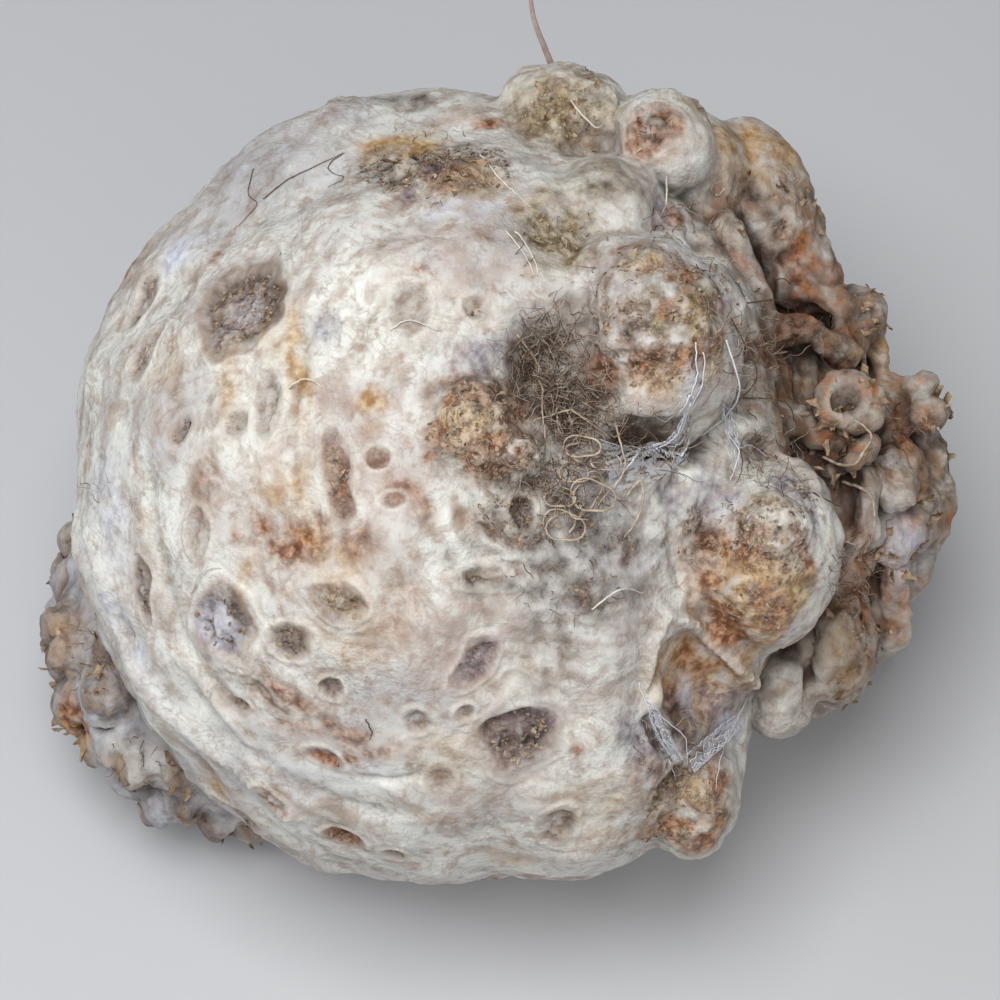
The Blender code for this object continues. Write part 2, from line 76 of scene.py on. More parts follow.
# Rounded lumps: centre and radii.
LUMPS = {
    "right mass": ((37, -4, -10), (19, 28, 25)),
    "lower belly": ((7.5, -23.5, 5), (27, 31.5, 33)),
    "lower flank": ((19, -28, 2), (16, 21, 26)),
    "front knob": ((20, 17.5, 32), (11.2, 13.2, 16)),
    "front knob shoulder": ((14, 31, 23), (9, 11, 11)),
    "front knob brow": ((15, 24.5, 34), (7, 6, 8.5)),
    "front knob side": ((26, 21, 32), (6, 7.5, 10)),
    "front knob cheek": ((13.5, 15, 35), (5.5, 5, 8)),
    "small knob": ((-2, 6.2, 44.5), (6.6, 6.6, 7.6)),
    "small knob toe": ((3, 2.4, 44), (4.6, 4.2, 6.2)),
    "front knob belly": ((18.5, 10.5, 38), (7.5, 6.5, 9)),
    "side knob": ((33.5, -10.2, 21), (12, 13.4, 17.5)),
    "side knob root": ((25, -11.5, 24.5), (6.5, 9.5, 11.5)),
    "side knob crown": ((34.5, -7, 25), (7.5, 7, 15)),
    "side knob foot": ((27, -21, 18), (9, 10, 13)),
    "top lobe": ((9, 47, 8), (9.5, 9, 12)),
    "white knob": ((21.5, 43.5, 15), (6.8, 7, 9)),
    "top bridge": ((20, 40, 2), (15, 11.5, 14)),
    "lower knob": ((25.5, -41, 9), (7.5, 10.5, 14)),
    "tan lump": ((45, -23, 5), (6.5, 8, 8)),
    "low tan lump": ((38.5, -29, 8), (5, 6, 6)),
    "edge lump": ((50, 20, 0), (4.6, 5.6, 8)),
    "heel": ((20, -18, -33), (17, 17, 17)),
    "back lobe": ((27, 17, -24), (18, 23, 16)),
    "back knuckle": ((15, 34, -20), (13, 10, 12)),
    "back knob": ((36, 26, -34), (8, 9, 9)),
}

# Root stubs and ribs: each point is x, y, z and a radius.
LIMBS = {
    "back ridge": ((33, 43, 0, 5.6), (37, 36, 3, 6.2), (41, 26, 3, 6.6)),
    "tan tube": ((28, 39, 8, 2.2), (31, 31, 13, 2.4), (35, 22, 12, 2.4)),
    "hollow stub stalk": ((43, 2, 8, 3.4), (45.5, 7, 12, 3.2), (46.3, 9.5, 14, 3.2)),
    "right tongue": ((56, 8, -6, 4), (59.5, 3, -5, 3.4), (59.5, -6, -6, 3.6), (56.5, -13, -8, 4)),
    "pale ridge": ((54, 6, 3, 2.2), (56, 0, 3, 2.4), (58, -7, 1, 2.2)),
    "grey spur": ((51, 11, -1, 4.2), (55.5, 12, 2, 2.2), (59.0, 12.6, 3, 1.7)),
    "orange spur": ((54, 7, 2, 2.6), (58, 8.4, 3, 2.1), (60.5, 8.8, 4, 1.7)),
    "pale tube": ((48.5, 0, 12, 1.8), (49, -3, 13, 1.8), (50, -8, 11, 1.8)),
    "curl": ((44, 0, 13, 1.8), (47, 1.5, 16, 1.6), (49.5, 3.5, 14, 1.6)),
    "upper lump": ((52, 0, 8, 3.2), (53, -2, 8, 3.2)),
    "middle lump": ((54.5, -7, 5, 3.2), (54, -9, 5, 3)),
    "green lump": ((54, -13, 3, 2.6), (53.5, -21, 1, 2.8)),
    "upper rib": ((36, 19, 12, 2.2), (42, 20, 12, 2.4), (49, 15, 8, 3)),
    "lower rib": ((34, 9, 14, 2.2), (39, 8, 15, 2.4), (45, 4, 11, 3)),
    "outer rib": ((41, 25, 8, 2.6), (47, 22, 6, 3), (52, 17, 2, 3)),
    "skin fold": ((17, -29, 33, 1.2), (19, -33, 31, 1.2), (23, -38, 26, 1.2)),
    "crown spike": ((-55, -19.5, -23, 4.8), (-60, -22, -21, 3.6), (-63.8, -23.5, -19, 2.2)),
    "crown stalk": ((-46, -41, -22, 2.4), (-45, -46, -22, 2.0), (-42, -49, -21, 1.6)),
    "crown lobule": ((-38, -42, -22, 4.0), (-39, -46, -22, 3.6)),
    "back root": ((30, 8, -44, 6), (40, 16, -44, 4.5), (47, 24, -40, 3)),
    "low back root": ((44, -14, -28, 6), (52, -18, -32, 4), (57, -24, -33, 2.5)),
}

# The hollow cut stub: a ring that stands on its stalk.
RING_PLACE = (46.3, 10.0, 15.5)
RING_AXIS = (0.35, 0.25, 0.9)
RING_RADIUS = 3.3
RING_WALL = 1.4

# Broad hollows (height below zero) and swellings on the face: x, y, half length, half width, turn, height.
SWELLS = {
    "hairy crevice": (6.5, 14.5, 6.0, 3.6, 60, -5.0),
    "gap beside small knob": (10, 7.5, 4.5, 3.5, 70, -3.5),
    "pit under front knob": (18.5, 4.0, 5.0, 2.4, 0, -5.0),
    "valley": (14, -5.0, 9.0, 7.0, -20, -2.5),
    "moss hollow": (7.5, 30, 4.0, 5.0, 0, -1.6),
    "cavity under white knob": (22.5, 33.5, 3.6, 2.4, 20, -3.0),
    "left shoulder": (-27, 38, 18, 10, 32, -4.6),
    "rusty hollow": (-24, -8, 7.0, 4.0, -20, -0.9),
    "stained hollow": (-3, -21, 6.0, 4.0, 20, -1.0),
    "flank": (14, -28, 3.5, 12, 0, 1.6),
    "brow": (-8, 27, 13, 5, 10, 1.3),
    "top crust": (-8, 40, 8.0, 4.2, -12, 0.9),
    "knob band": (19.5, 15.4, 6.5, 1.7, 5, 0.9),
    "facet lens": (20.8, -27.6, 3.0, 1.3, 60, 1.6),
}

# Where the body is knobblier than elsewhere: centre and radius.
ROUGH_PLACES = (
    ((46, 4, 2), 26),
    ((19, 18, 32), 15),
    ((33, -10, 24), 13),
    ((0, 4, 46), 8),
    ((-44, -35, -30), 26),
    ((20, -40, 14), 12),
    ((12, 46, 12), 13),
    ((34, 20, -30), 22),
)

# Eyes on the face, where roots came away: x, y, half length, half width, turn, depth.
EYES = {
    "wide eye": (-32, 21.5, 5.8, 6.0, 0, 1.7),
    "lavender eye": (-34.5, -19, 4.3, 3.9, 60, 1.5),
    "purple eye": (3, -32.8, 4.2, 3.9, 0, 1.5),
    "pale eye": (8.3, -45.2, 3.2, 2.2, 90, 1.1),
    "brown eye": (-25.5, -21, 2.3, 2.1, 0, 1.3),
    "lens eye": (-19.2, -16.2, 3.9, 2.0, -15, 1.5),
    "ring eye": (-37.3, -7.5, 2.6, 1.9, 90, 0.9),
    "dark edge eye": (-45, -14.4, 3.8, 1.9, 70, 1.4),
    "left eye": (-39.5, 5.3, 2.0, 1.5, 30, 1.0),
    "middle left eye": (-32, 6.5, 2.0, 1.6, 70, 1.0),
    "ridged eye": (-28.2, 8.7, 4.2, 1.8, 100, 1.3),
    "long brown eye": (-19.2, -0.7, 5.0, 1.7, 100, 1.3),
    "red eye": (-14.1, 1.8, 1.3, 1.1, 20, 1.4),
    "grey dimple": (-10.4, 20.4, 2.4, 2.8, 0, 1.1),
    "curled eye": (-2.1, 20.4, 1.8, 1.5, 0, 0.9),
    "upper edge eye": (-46.2, 23.2, 3.2, 1.8, 60, 1.3),
    "edge eye": (-45.4, 15.5, 3.6, 2.2, 60, 1.3),
    "pit eye": (-12.2, -3.4, 1.4, 1.0, 0, 0.7),
    "speckled eye": (-0.1, -12.7, 3.2, 1.4, 5, 1.2),
    "mouth": (3.6, -4.5, 1.9, 1.5, 80, 2.0),
    "slanting eye": (-2.1, -23.2, 3.6, 1.8, 60, 1.1),
    "small dark eye": (-20.4, -26.8, 1.4, 1.3, 0, 1.1),
    "lipped eye": (-29.3, -28, 3.0, 1.5, -40, 1.2),
    "low left eye": (-32.5, -29.5, 1.8, 1.2, 0, 0.9),
    "low middle eye": (-9.6, -31.3, 1.7, 1.5, 0, 0.9),
    "notch": (-3.6, -30.1, 1.4, 1.1, 40, 1.2),
    "low ring eye": (-6.9, -38.9, 2.1, 1.6, 90, 1.0),
    "rust eye": (-21.4, -36, 2.2, 1.1, -20, 0.8),
    "bottom left eye": (-28.7, -42, 2.6, 1.6, -40, 1.0),
    "bottom eye": (-19.5, -47, 2.4, 1.6, -20, 1.0),
    "bottom middle eye": (-13.2, -49.5, 1.6, 1.2, 0, 0.8),
    "white knob eye": (20.5, 45, 3.2, 2.8, 20, 1.2),
    "lower knob eye": (22.3, -39.9, 2.6, 2.1, 40, 1.2),
    "upper notch": (38.5, 33.1, 1.8, 1.3, 60, 1.2),
    "ring hole": (46.4, 10.1, 2.0, 1.9, 0, 4.2),
    "front knob pit": (16.3, 20.4, 1.0, 0.9, 0, 1.2),
    "front knob second pit": (18.1, 20.4, 1.0, 0.9, 0, 1.2),
}

# An eye's make-up, in its own half widths and its depth.
EYE_PIT = (1.2, 0.7, 0.6)  # where the pit begins, the width of its slope, and its share of the depth
EYE_RIM = (1.28, 0.24, 0.18)  # the rim's place, half width and height
EYE_DENT = (2.0, 0.25)  # the dent's half width and depth
EYE_WANDER = (4.5, 0.3)  # how its outline wanders: size in millimetres and amount

# How some of them are coloured: strength and darkness of the scar, and of its outline. The rest at random.
EYE_LOOKS = {
    "wide eye": (0.95, 0.75, 1.3),
    "lavender eye": (0.7, 0.6, 1.2),
    "purple eye": (1.0, 0.95, 0.8),
    "pale eye": (0.7, 0.5, 0.8),
    "brown eye": (1.0, 0.95, 1.0),
    "lens eye": (0.8, 0.8, 1.0),
    "ring eye": (0.4, 0.3, 1.2),
    "dark edge eye": (0.95, 1.0, 0.8),
    "left eye": (0.7, 0.7, 0.6),
    "middle left eye": (0.6, 0.6, 0.6),
    "ridged eye": (0.6, 0.5, 0.8),
    "long brown eye": (0.9, 0.9, 0.9),
    "grey dimple": (0.5, 0.6, 0.5),
    "slanting eye": (0.8, 0.8, 1.0),
    "small dark eye": (1.0, 1.0, 1.0),
    "bottom eye": (0.8, 0.8, 0.8),
}

# Grooves (depth above zero) and ridges on the face: points, half width, depth.
GROOVES = {
    "knob crevice": (((26.5, 31), (31, 25), (33.4, 18), (32.5, 9), (27, 3), (18, 3.5)), 1.6, 2.6),
    "side knob crevice": (((22, -3), (25, 2.5), (31, 4.5), (38, 2), (44, -4), (45, -12)), 1.5, 2.0),
    "small knob crevice": (((-7.5, 2), (-4, -1), (1.5, -2.6), (6.5, -1)), 1.0, 0.8),
    "long crease": (((-2, -9.4), (3, -11.5), (8.9, -12.4)), 0.8, 1.1),
    "curved wrinkle": (((-4, -5), (0, -8), (3.8, -9.2), (7.3, -8.5)), 0.8, 0.9),
    "inner wrinkle": (((-8, -6), (-5, -11), (1, -15), (8, -16)), 1.0, 0.8),
    "flank groove": (((5.3, -18), (6.2, -22), (6.8, -27)), 0.7, 0.7),
    "second flank groove": (((8.0, -17), (8.7, -21), (9.2, -26)), 0.7, 0.7),
    "ochre streak": (((-24.2, 19), (-24, 13), (-25, 7.4)), 1.0, 0.8),
    "eyed crease": (((-17, -38.6), (-13, -39), (-9.6, -38.2)), 0.7, 0.7),
    "left fold": (((-44, 0), (-43, -9), (-40, -20), (-34, -30)), 1.4, 0.8),
    "second left fold": (((-40, -26), (-33, -35), (-24, -41), (-14, -44)), 1.4, 0.8),
    "side knob edge": (((23, -4), (22, -9), (23.5, -14)), 1.0, 0.7),
    "slit": (((19.5, -31.5), (20.8, -34), (22.8, -36.5)), 0.9, 1.8),
    "tan crease": (((42, -20), (42.6, -24), (42.2, -28)), 0.9, 1.8),
    "facet lip": (((19, -27), (19.6, -22), (21.5, -18), (25, -19), (29, -22.5), (33.5, -27)), 0.8, -1.3),
    "crown fold": (
        ((-52.5, -8), (-50, -16), (-45.4, -28), (-38.7, -34), (-32, -39), (-26.5, -44)),
        1.6,
        -1.2,
    ),
}

# The peeled facet: a flat-bottomed scoop under its lip.
FACET = (25.4, -26.4, 8.2, 5.4, -38, 1.5)

FACET_EDGE = (1.1, 0.35)  # where its floor ends and how wide its slope is, in its own half widths

# Eyes at random where the face doesn't show them.
HIDDEN_EYES = 64
HIDDEN_LENGTHS = (1.6, 4.4)  # least and most half length
HIDDEN_WIDTHS = (0.5, 0.95)  # least and most half width, as shares of the half length
HIDDEN_DEPTH = 0.24  # as a share of the half length
HIDDEN_GAP = 1.7  # least distance between two, as a share of their half lengths
HIDDEN_FLOOR = 5  # least height above the surface that the body lies on
HIDDEN_FACING = 0.2  # how far they may turn towards the face

CROWN_RINGS = ((9, 8, 3.2), (15.5, 13, 3.6), (21.5, 19, 3.6), (26, 24, 3.4))  # radius, stubs, their size
CROWN_FOLDS = (9.0, 22.0, 80.0, 0.55)  # spacing and reach in degrees from the crown's axis, and height
CROWN_STUMP = (6, 5, 4)  # radii of the stump in the middle of the crown
FOLD_FADES = (15, 20)  # degrees over which the folds begin and end
FOLD_WANDER = (24, 9)  # size in millimetres and amount in degrees
FOLD_STRENGTH = (16, 0.6, 0.8)  # size in millimetres, mean and amount
GNARLS = 30
WAVES = ((30, 1.5, 2), (17, 1.2, 0), (8, 0.8, 1))  # uneven skin: size, height and seed step
KNOBBLES = (6, 1.7, 6)  # the same, in the rough places


# What colours the skin, each as x, y, half length, half width, turn and strength.
STAINS = {
    "rust": (
        (14.0, 11.8, 2.6, 2.6, 20, 1.1),
        (17.2, 14.2, 2.4, 2.0, 50, 1.0),
        (21.0, 14.6, 2.6, 1.5, -10, 0.9),
        (25.0, 14.6, 2.4, 2.0, 20, 1.2),
        (23, 24.5, 1.6, 2.4, 0, 0.8),
        (27.6, 18.5, 1.4, 3.6, -10, 1.0),
        (21.6, 20.4, 1.6, 1.0, 30, 0.8),
        (16.0, 28.0, 1.4, 1.0, 0, 0.6),
        (-3.6, 10.4, 4.2, 2.0, -5, 1.3),
        (0.4, 2.0, 3.8, 3.0, 30, 1.3),
        (-6.4, 3.0, 1.2, 2.6, 20, 0.8),
        (30, -19.5, 3.2, 3.8, -30, 1.3),
        (34.8, -17.6, 1.6, 4.2, 20, 1.1),
        (27.2, -13, 1.3, 5.0, 0, 0.8),
        (31.2, -8.6, 4.6, 2.2, 0, 1.0),
        (26.6, -23.4, 4.2, 2.8, -38, 0.6),
        (22.4, -29.4, 2.0, 3.2, 20, 0.6),
        (19.8, -38.6, 2.4, 3.2, 0, 0.8),
        (24, -45.4, 4.6, 2.8, 0, 1.0),
        (29.4, -40, 1.6, 4.0, 0, 0.9),
        (-26, -8.5, 5.0, 2.6, -20, 0.8),
        (-32, -8, 1.0, 1.0, 0, 0.9),
        (38.8, -9.5, 1.0, 4.6, 10, 0.95),
        (24.2, -14, 0.7, 5.0, 10, 0.7),
        (26, -48, 4.5, 2.4, 0, 0.9),
        (-5.9, 36.2, 1.7, 1.0, 0, 1.0),
        (-5.5, 39, 3.6, 1.4, 10, 1.2),
        (-25, -29.5, 6.0, 2.2, -35, 0.75),
        (-17, -34, 5.0, 2.0, -20, 0.7),
        (-18.5, -7.5, 4.0, 2.4, -35, 0.6),
        (-12, -16, 3.0, 2.0, 20, 0.45),
        (-36, -1.5, 2.0, 4.0, 10, 0.4),
        (-10, -3.5, 4.0, 1.6, -50, 0.45),
        (20.5, 45, 3.4, 3.0, 20, 1.9),
        (22.6, 33.4, 3.6, 2.0, 20, 0.9),
        (40, 28, 4.5, 4.5, 0, 0.8),
        (35.4, 15.5, 3.0, 2.4, 0, 0.8),
        (39, 19, 2.6, 2.2, 0, 0.8),
        (-14.6, 28, 0.9, 0.8, 0, 0.8),
        (-1.2, 29.5, 1.0, 0.8, 0, 0.7),
        (-9, 25, 0.9, 0.8, 0, 0.9),
        (-0.8, 46, 2.0, 1.2, 0, 0.7),
        (10.3, -34.7, 0.9, 0.8, 0, 0.8),
        (-21.4, -36, 2.0, 1.0, -20, 0.8),
        (-18.2, -36, 1.0, 0.8, 0, 0.8),
        (-10.6, 3.8, 0.6, 0.6, 0, 0.8),
        (-8, 1.9, 0.8, 0.6, 0, 0.8),
        (-14.1, 1.8, 1.5, 1.3, 20, 0.9),
        (-36, 28, 1.0, 0.9, 0, 0.7),
        (-19.2, -0.7, 5.0, 1.6, 100, 0.45),
        (-27.5, -30.5, 1.4, 0.8, -40, 0.9),
        (-19.5, -47, 2.6, 1.8, -20, 0.7),
        (-28.7, -42, 2.4, 1.4, -40, 0.6),
        (0.5, -7.2, 4.0, 1.2, -30, 0.6),
        (-59, -34, 2.6, 2.6, 0, 1.2),
        (56, 6.5, 3.6, 2.4, 0, 0.7),
    ),
    "ochre": (
        (-3.6, 6.0, 3.8, 3.6, 0, 1.2),
        (31.4, -15.2, 4.8, 7.2, 0, 1.25),
        (25.2, -25.6, 8.0, 5.6, -38, 1.0),
        (22, 12.2, 5.0, 2.2, 10, 0.7),
        (24.6, 20.6, 1.6, 2.6, 0, 0.8),
        (18.6, 25.4, 2.4, 1.2, 20, 0.6),
        (24, -42, 4.0, 5.0, 0, 0.7),
        (44, -20, 3.0, 5.0, 0, 0.5),
        (-15.1, 7.8, 1.9, 2.4, 0, 0.75),
        (-24.4, 13, 6.5, 1.3, 92, 0.8),
        (-31, -13.8, 0.9, 2.6, 0, 0.6),
        (2, -51, 2.4, 1.6, 0, 0.5),
        (-59, -36, 3.0, 4.0, 0, 0.9),
        (-49, -41, 4.0, 3.0, 30, 0.4),
        (-60, -22, 3.0, 4.0, 0, 0.4),
        (34.5, 43.5, 5.0, 4.5, 0, 0.8),
        (-26, -3, 5.0, 3.4, 40, 0.5),
        (-21, -10, 5.0, 3.0, -30, 0.6),
        (-33, 12, 1.4, 5.0, 0, 0.5),
        (-28, 16, 1.4, 3.6, 20, 0.5),
        (-12, 42, 4.6, 3.0, 0, 1.1),
        (-4, 38, 4.0, 2.4, 0, 0.8),
        (-17, -19, 6.0, 4.0, 30, 0.3),
        (33, -22, 3.0, 4.0, 0, 0.4),
        (-42, 12, 3.0, 5.0, 0, 0.3),
        (14, -44, 5.0, 6.0, 0, 0.35),
        (-5, -36, 7.0, 4.0, 0, 0.3),
    ),
    "olive": (
        (9, 48, 6.0, 4.2, 0, 0.9),
        (7.5, 30, 4.2, 5.6, -10, 0.9),
        (26, 18.5, 3.4, 5.8, 0, 1.0),
        (21.5, 18.0, 3.0, 2.4, 0, 0.6),
        (38.6, -15, 1.8, 4.6, -10, 0.85),
        (34, -3.2, 3.0, 1.6, 0, 0.5),
        (-11, 42.2, 4.0, 2.4, 0, 0.9),
        (19, 24, 5.0, 4.0, 0, 0.4),
        (13, 38, 4.0, 4.0, 0, 0.5),
        (30, -44, 2.6, 5.0, 0, 0.6),
    ),
    "violet": (
        (-20.8, 17.8, 1.8, 1.8, 0, 0.6),
        (37.6, -2.0, 2.8, 2.2, 0, 1.1),
        (40.2, -6.5, 1.2, 3.0, 0, 0.7),
        (30, -32, 6.0, 2.6, -30, 0.7),
        (-1, 13.6, 5.0, 2.6, 0, 0.5),
        (-9, 37.5, 1.0, 4.6, -40, 0.9),
        (-34.8, -19.4, 3.4, 3.0, 60, 0.6),
        (-32, 19.6, 2.8, 2.4, 0, 0.6),
        (3, -32.8, 4.0, 3.8, 0, 0.7),
        (-2.1, -23.2, 3.4, 1.6, 60, 0.7),
        (12, -1, 5.0, 4.0, 0, 0.55),
        (20, -33, 2.0, 5.0, 20, 0.6),
        (24, -2, 5.0, 4.0, 0, 0.5),
    ),
    "milk": (
        (-35.0, -19.4, 2.8, 2.8, 60, 0.9),
        (-31.6, 20.4, 2.2, 1.8, 0, 0.3),
        (-41.7, 29, 3.0, 2.4, 40, 0.9),
        (30.8, -33.2, 3.6, 1.4, -30, 1.0),
        (24.6, -28.8, 3.0, 1.2, -60, 0.6),
        (-50, -4, 3.0, 7.0, 10, 0.5),
        (-47, -22, 2.4, 8.0, 20, 0.5),
        (-13, -37.6, 3.0, 1.0, -10, 0.4),
        (24.4, 10.6, 1.4, 2.6, 0, 0.8),
        (29.6, -4.0, 2.6, 1.6, 0, 0.4),
        (38.4, -20, 1.6, 3.4, -20, 0.5),
        (-4.6, 33.2, 3.4, 1.6, 10, 0.7),
        (2.0, 15.4, 3.0, 1.6, 20, 0.6),
        (54, -10, 2.4, 5.0, 0, 0.5),
        (21, 33.4, 2.0, 4.0, 0, 0.4),
    ),
    "rose": (
        (17.8, 8.6, 4.4, 2.8, 0, 0.7),
        (-4.5, -21, 7.0, 5.0, 10, 1.1),
        (-17, 3, 6.0, 9.0, 20, 0.6),
        (-30, -2, 8.0, 6.0, 20, 0.35),
        (-26, -31, 8.0, 4.0, -35, 0.4),
        (25, -9, 2.0, 6.0, 0, 0.5),
        (-5, 28, 9.0, 5.0, 0, 0.5),
        (14, -28, 6.0, 10.0, 0, 0.2),
        (18, 24, 9.0, 8.0, 0, 0.5),
        (3, -42, 6.0, 4.0, 0, 0.25),
    ),
    "dirt_and_shade": (
        # Dark patches: dirt on the crust and eyes, and painted shade where they lie in the stub's hole, the
        # crevices, the pit under the front knob and the valley.
        (-4.0, 10.9, 3.2, 1.1, -5, 0.8),
        (20.5, 45, 2.4, 2.0, 20, 0.8),
        (17.0, 17.6, 1.6, 1.2, 30, 0.7),
        (24.6, 21.6, 1.2, 2.0, 0, 0.6),
        (-14, 42, 3.0, 1.4, 20, 0.7),
        (-3, 36, 2.4, 1.2, 0, 0.6),
        (-13, 38.4, 2.4, 1.6, -30, 0.8),
        (-4.4, 42.6, 3.0, 1.2, 20, 0.7),
        (-27.4, 22, 1.6, 3.0, 0, 0.9),
        (-31.6, -17.4, 1.2, 2.6, 20, 0.9),
        (22.6, -31.4, 2.6, 1.8, -30, 0.8),
        (46.4, 10.1, 1.5, 1.5, 0, 1.3),
        (6.5, 14.5, 6.5, 4.2, 60, 1.0),
        (10, 8, 5.0, 4.0, 70, 0.9),
        (18.5, 4.0, 5.6, 3.0, 0, 0.95),
        (-0.1, -12.7, 3.6, 1.8, 5, 0.9),
        (12, -11, 8.0, 6.5, 0, 0.62),
        (1.5, -10, 6.0, 2.6, -10, 0.4),
        (4, -4.5, 3.6, 3.4, 0, 0.7),
        (-8, 39.5, 7.0, 4.6, -10, 0.5),
        (29, 27, 2.0, 8.0, 25, 0.9),
        (36, 33, 2.0, 8.0, 25, 0.8),
        (-32, 24, 4.6, 2.8, 0, 0.7),
        (-36.6, 19, 1.4, 2.4, 0, 0.6),
        (37, 16, 5.0, 6.0, 0, 0.6),
        (24, -33, 3.4, 4.6, 30, 0.6),
        (22.3, -39.9, 2.4, 2.0, 40, 0.9),
        (3.4, -33.2, 3.4, 3.0, 0, 0.6),
        (7, -22, 3.0, 6.0, 0, 0.35),
        (-9.7, 50, 6.0, 2.0, 0, 0.7),
        (16, 38, 4.0, 4.0, 0, 0.4),
    ),
}

# How many more of them lie at random where the face doesn't show them, and their half lengths.
HIDDEN_STAINS = {"rust": 16, "ochre": 12, "violet": 8, "milk": 8, "rose": 16, "dirt_and_shade": 14}
HIDDEN_STAIN_SIZES = (1.2, 5.5)

# Rough crust, each as x, y, half length, half width, turn and strength.
CRUSTS = (
    (19.5, 14.2, 7.5, 3.4, 12, 0.8),
    (19, 22, 8.5, 6.5, 0, 0.55),
    (25, 18, 4.5, 6.0, 0, 0.7),
    (-1.0, 5.5, 5.6, 6.2, 0, 0.75),
    (4.5, 3.5, 2.6, 2.6, 0, 1.0),
    (-8, 39.5, 8.5, 5.2, -10, 1.1),
    (9, 48, 5.5, 4.0, 0, 0.6),
    (7.5, 30, 4.0, 5.0, 0, 0.4),
    (32.7, -8.8, 4.6, 3.2, 0, 1.0),
    (25.5, -6.0, 2.2, 2.2, 0, 0.8),
    (33.5, -4.6, 3.4, 1.6, 0, 0.8),
    (31, -15, 5.0, 5.0, 0, 0.45),
    (38.6, -8, 2.2, 5.4, 5, 0.8),
    (26.4, -10, 2.4, 2.0, 20, 1.0),
    (24, -42, 6.0, 8.0, 0, 0.6),
    (4, -4.5, 4.0, 4.0, 0, 0.6),
    (12, -11, 8.0, 6.0, 0, 0.4),
)

# Broader brown skin, whose dark brown on the root mass is partly painted shade for that side: centre, radius
# and strength.
TANNED = (
    ((45, 12, 8), 18, 1.25),
    ((56, 0, 0), 16, 1.2),
    ((40, -2, 12), 8, 0.8),
    ((42, 32, 2), 14, 0.85),
    ((30, 30, 10), 8, 0.8),
    ((48, -22, 2), 16, 0.85),
    ((30, 10, -40), 22, 0.6),
    ((45, -10, -28), 20, 0.6),
    ((-50, -36, -30), 18, 0.22),
    ((-8, 40, 30), 6, 0.6),
    ((9, 48, 16), 5, 0.5),
)
# Greyer skin, in the same way.
GREYED = (
    ((-52, -34, -24), 27, 1.3),
    ((-30, -40, 0), 12, 0.4),
    ((20, 21, 44), 9, 0.7),
    ((24, -34, 24), 9, 0.5),
    ((36, 24, 8), 9, 0.5),
    ((10, -10, 40), 10, 0.5),
    ((-25, 42, 14), 14, 0.4),
)

# Woody, peeling skin: centre, radius and strength.
WOODY = (
    ((-8, 40, 30), 7, 0.8),
    ((9, 47, 18), 6, 0.7),
    ((47, 0, 0), 22, 0.9),
    ((42, 30, 4), 12, 0.8),
    ((30, 34, 10), 8, 0.6),
    ((-53, -34, -24), 27, 1.2),
    ((27, 20, 30), 6, 0.7),
    ((41, -11, 20), 8, 0.85),
    ((35, -9, 32), 4, 0.6),
    ((26, -42, 12), 9, 0.6),
    ((47, -22, 4), 12, 0.9),
    ((30, 12, -38), 22, 0.6),
    ((46, -12, -28), 18, 0.6),
)

PEEL = ((7.0, 0.5), (3.0, 0.35))  # size and height of its flakes' steps
PEEL_EDGE = 0.12  # how wide a step is, in units of the noise that it follows
WOOD_GRAIN = (1.0, 0.45, 1.0)  # it runs up the face
BARK = ((3.6, 0.75), (1.8, 0.5), (1.0, 0.25))  # size and height of its ridges

ROOT_END = (12.0, 3.0, 0.0)  # what the streaks and ripples run round
ARC_SIZE = (1.7, 9.0)  # how wide and how long the streaks are
ARC_RANGE = 32.0  # how far out they have that length

PORES = (5.0, 0.3, 0.8)  # spacing, least and most radius
OPEN_RAYS = 9
OPEN_REACH = 12.0
OPEN_SPREAD = 8  # passes that even out the share of clear rays
GRAIN = ((4.6, 0.3), (2.4, 0.2), (1.3, 0.1))  # size and height of the fine relief everywhere
CRUMB = ((2.6, 0.9), (1.3, 0.5), (0.8, 0.25))  # and on rough crust

# Eyes: how fine relief and colour follow an eye's own reach, in half widths.
BIG_EYE = 2.4  # half length in millimetres above which an eye has a woody, raised floor
EYE_CRUST = (1.1, 0.3, 0.6)  # where the crust in it ends, the width of its slope, and its strength
EYE_WOOD = 0.55  # strength of the wood in it
EYE_FLOOR = (0.45, 0.5)  # the floor's height, as a share of the depth, and its half width
EYE_SCAR = (1.15, 0.3)  # where the scar's colour ends and the width of its slope
EYE_LINE = (1.12, 0.1)  # place and half width of its dark outline
EYE_BRIGHT = (1.5, 0.25)  # place and half width of its bright rim
RING_SPACING = 1.5  # between the rings round it, in millimetres
RING_START = (1.1, 0.2)  # where they begin and over how far
RING_END = (2.2, 0.6)  # where they end and over how far
RING_COLOUR_END = 2.3  # where their colour ends
RING_HEIGHT = 0.13

TAN_CRUST = 0.3  # crust on all tanned skin
KNOB_CRUST = 0.35  # and in the rough places
RIDGE_LEVEL = 0.35  # how far bark and crumb stand above the skin between their cracks
PORE_DEPTH = 0.55  # as a share of the radius

# Ripples that run round the root end.
RIPPLES = (1.9, 0.1)  # spacing and height
RIPPLE_WANDER = (9, 3.5)  # size and amount
RIPPLE_FADES = (6, 6, 46, 10)  # where they begin, over how far, where they end, over how far
RIPPLE_STRENGTH = (11, 0.5, 1.2)  # size, mean and amount

BREAKUP = ((3.5, 0.9), (1.6, 0.6))  # size and amount of what breaks up every patch of colour
HOLLOWS = {"painted_hollow_shade": (30, 1.2), "fold": (110, 2.0)}  # passes and scale of narrow and broad hollows, which the skin's colour darkens as painted shade
RIDGES = (12, 0.35)  # the same, for what stands proud, which the skin's colour lightens as pale worn skin and painted highlight
SHUT = (0.7, 0.5)  # openness at which the painted shade in crevices begins, and over how much
PEELED_CLEAR = 0.85  # how far the peeled facet is kept clear of the painted shade in hollows and crevices
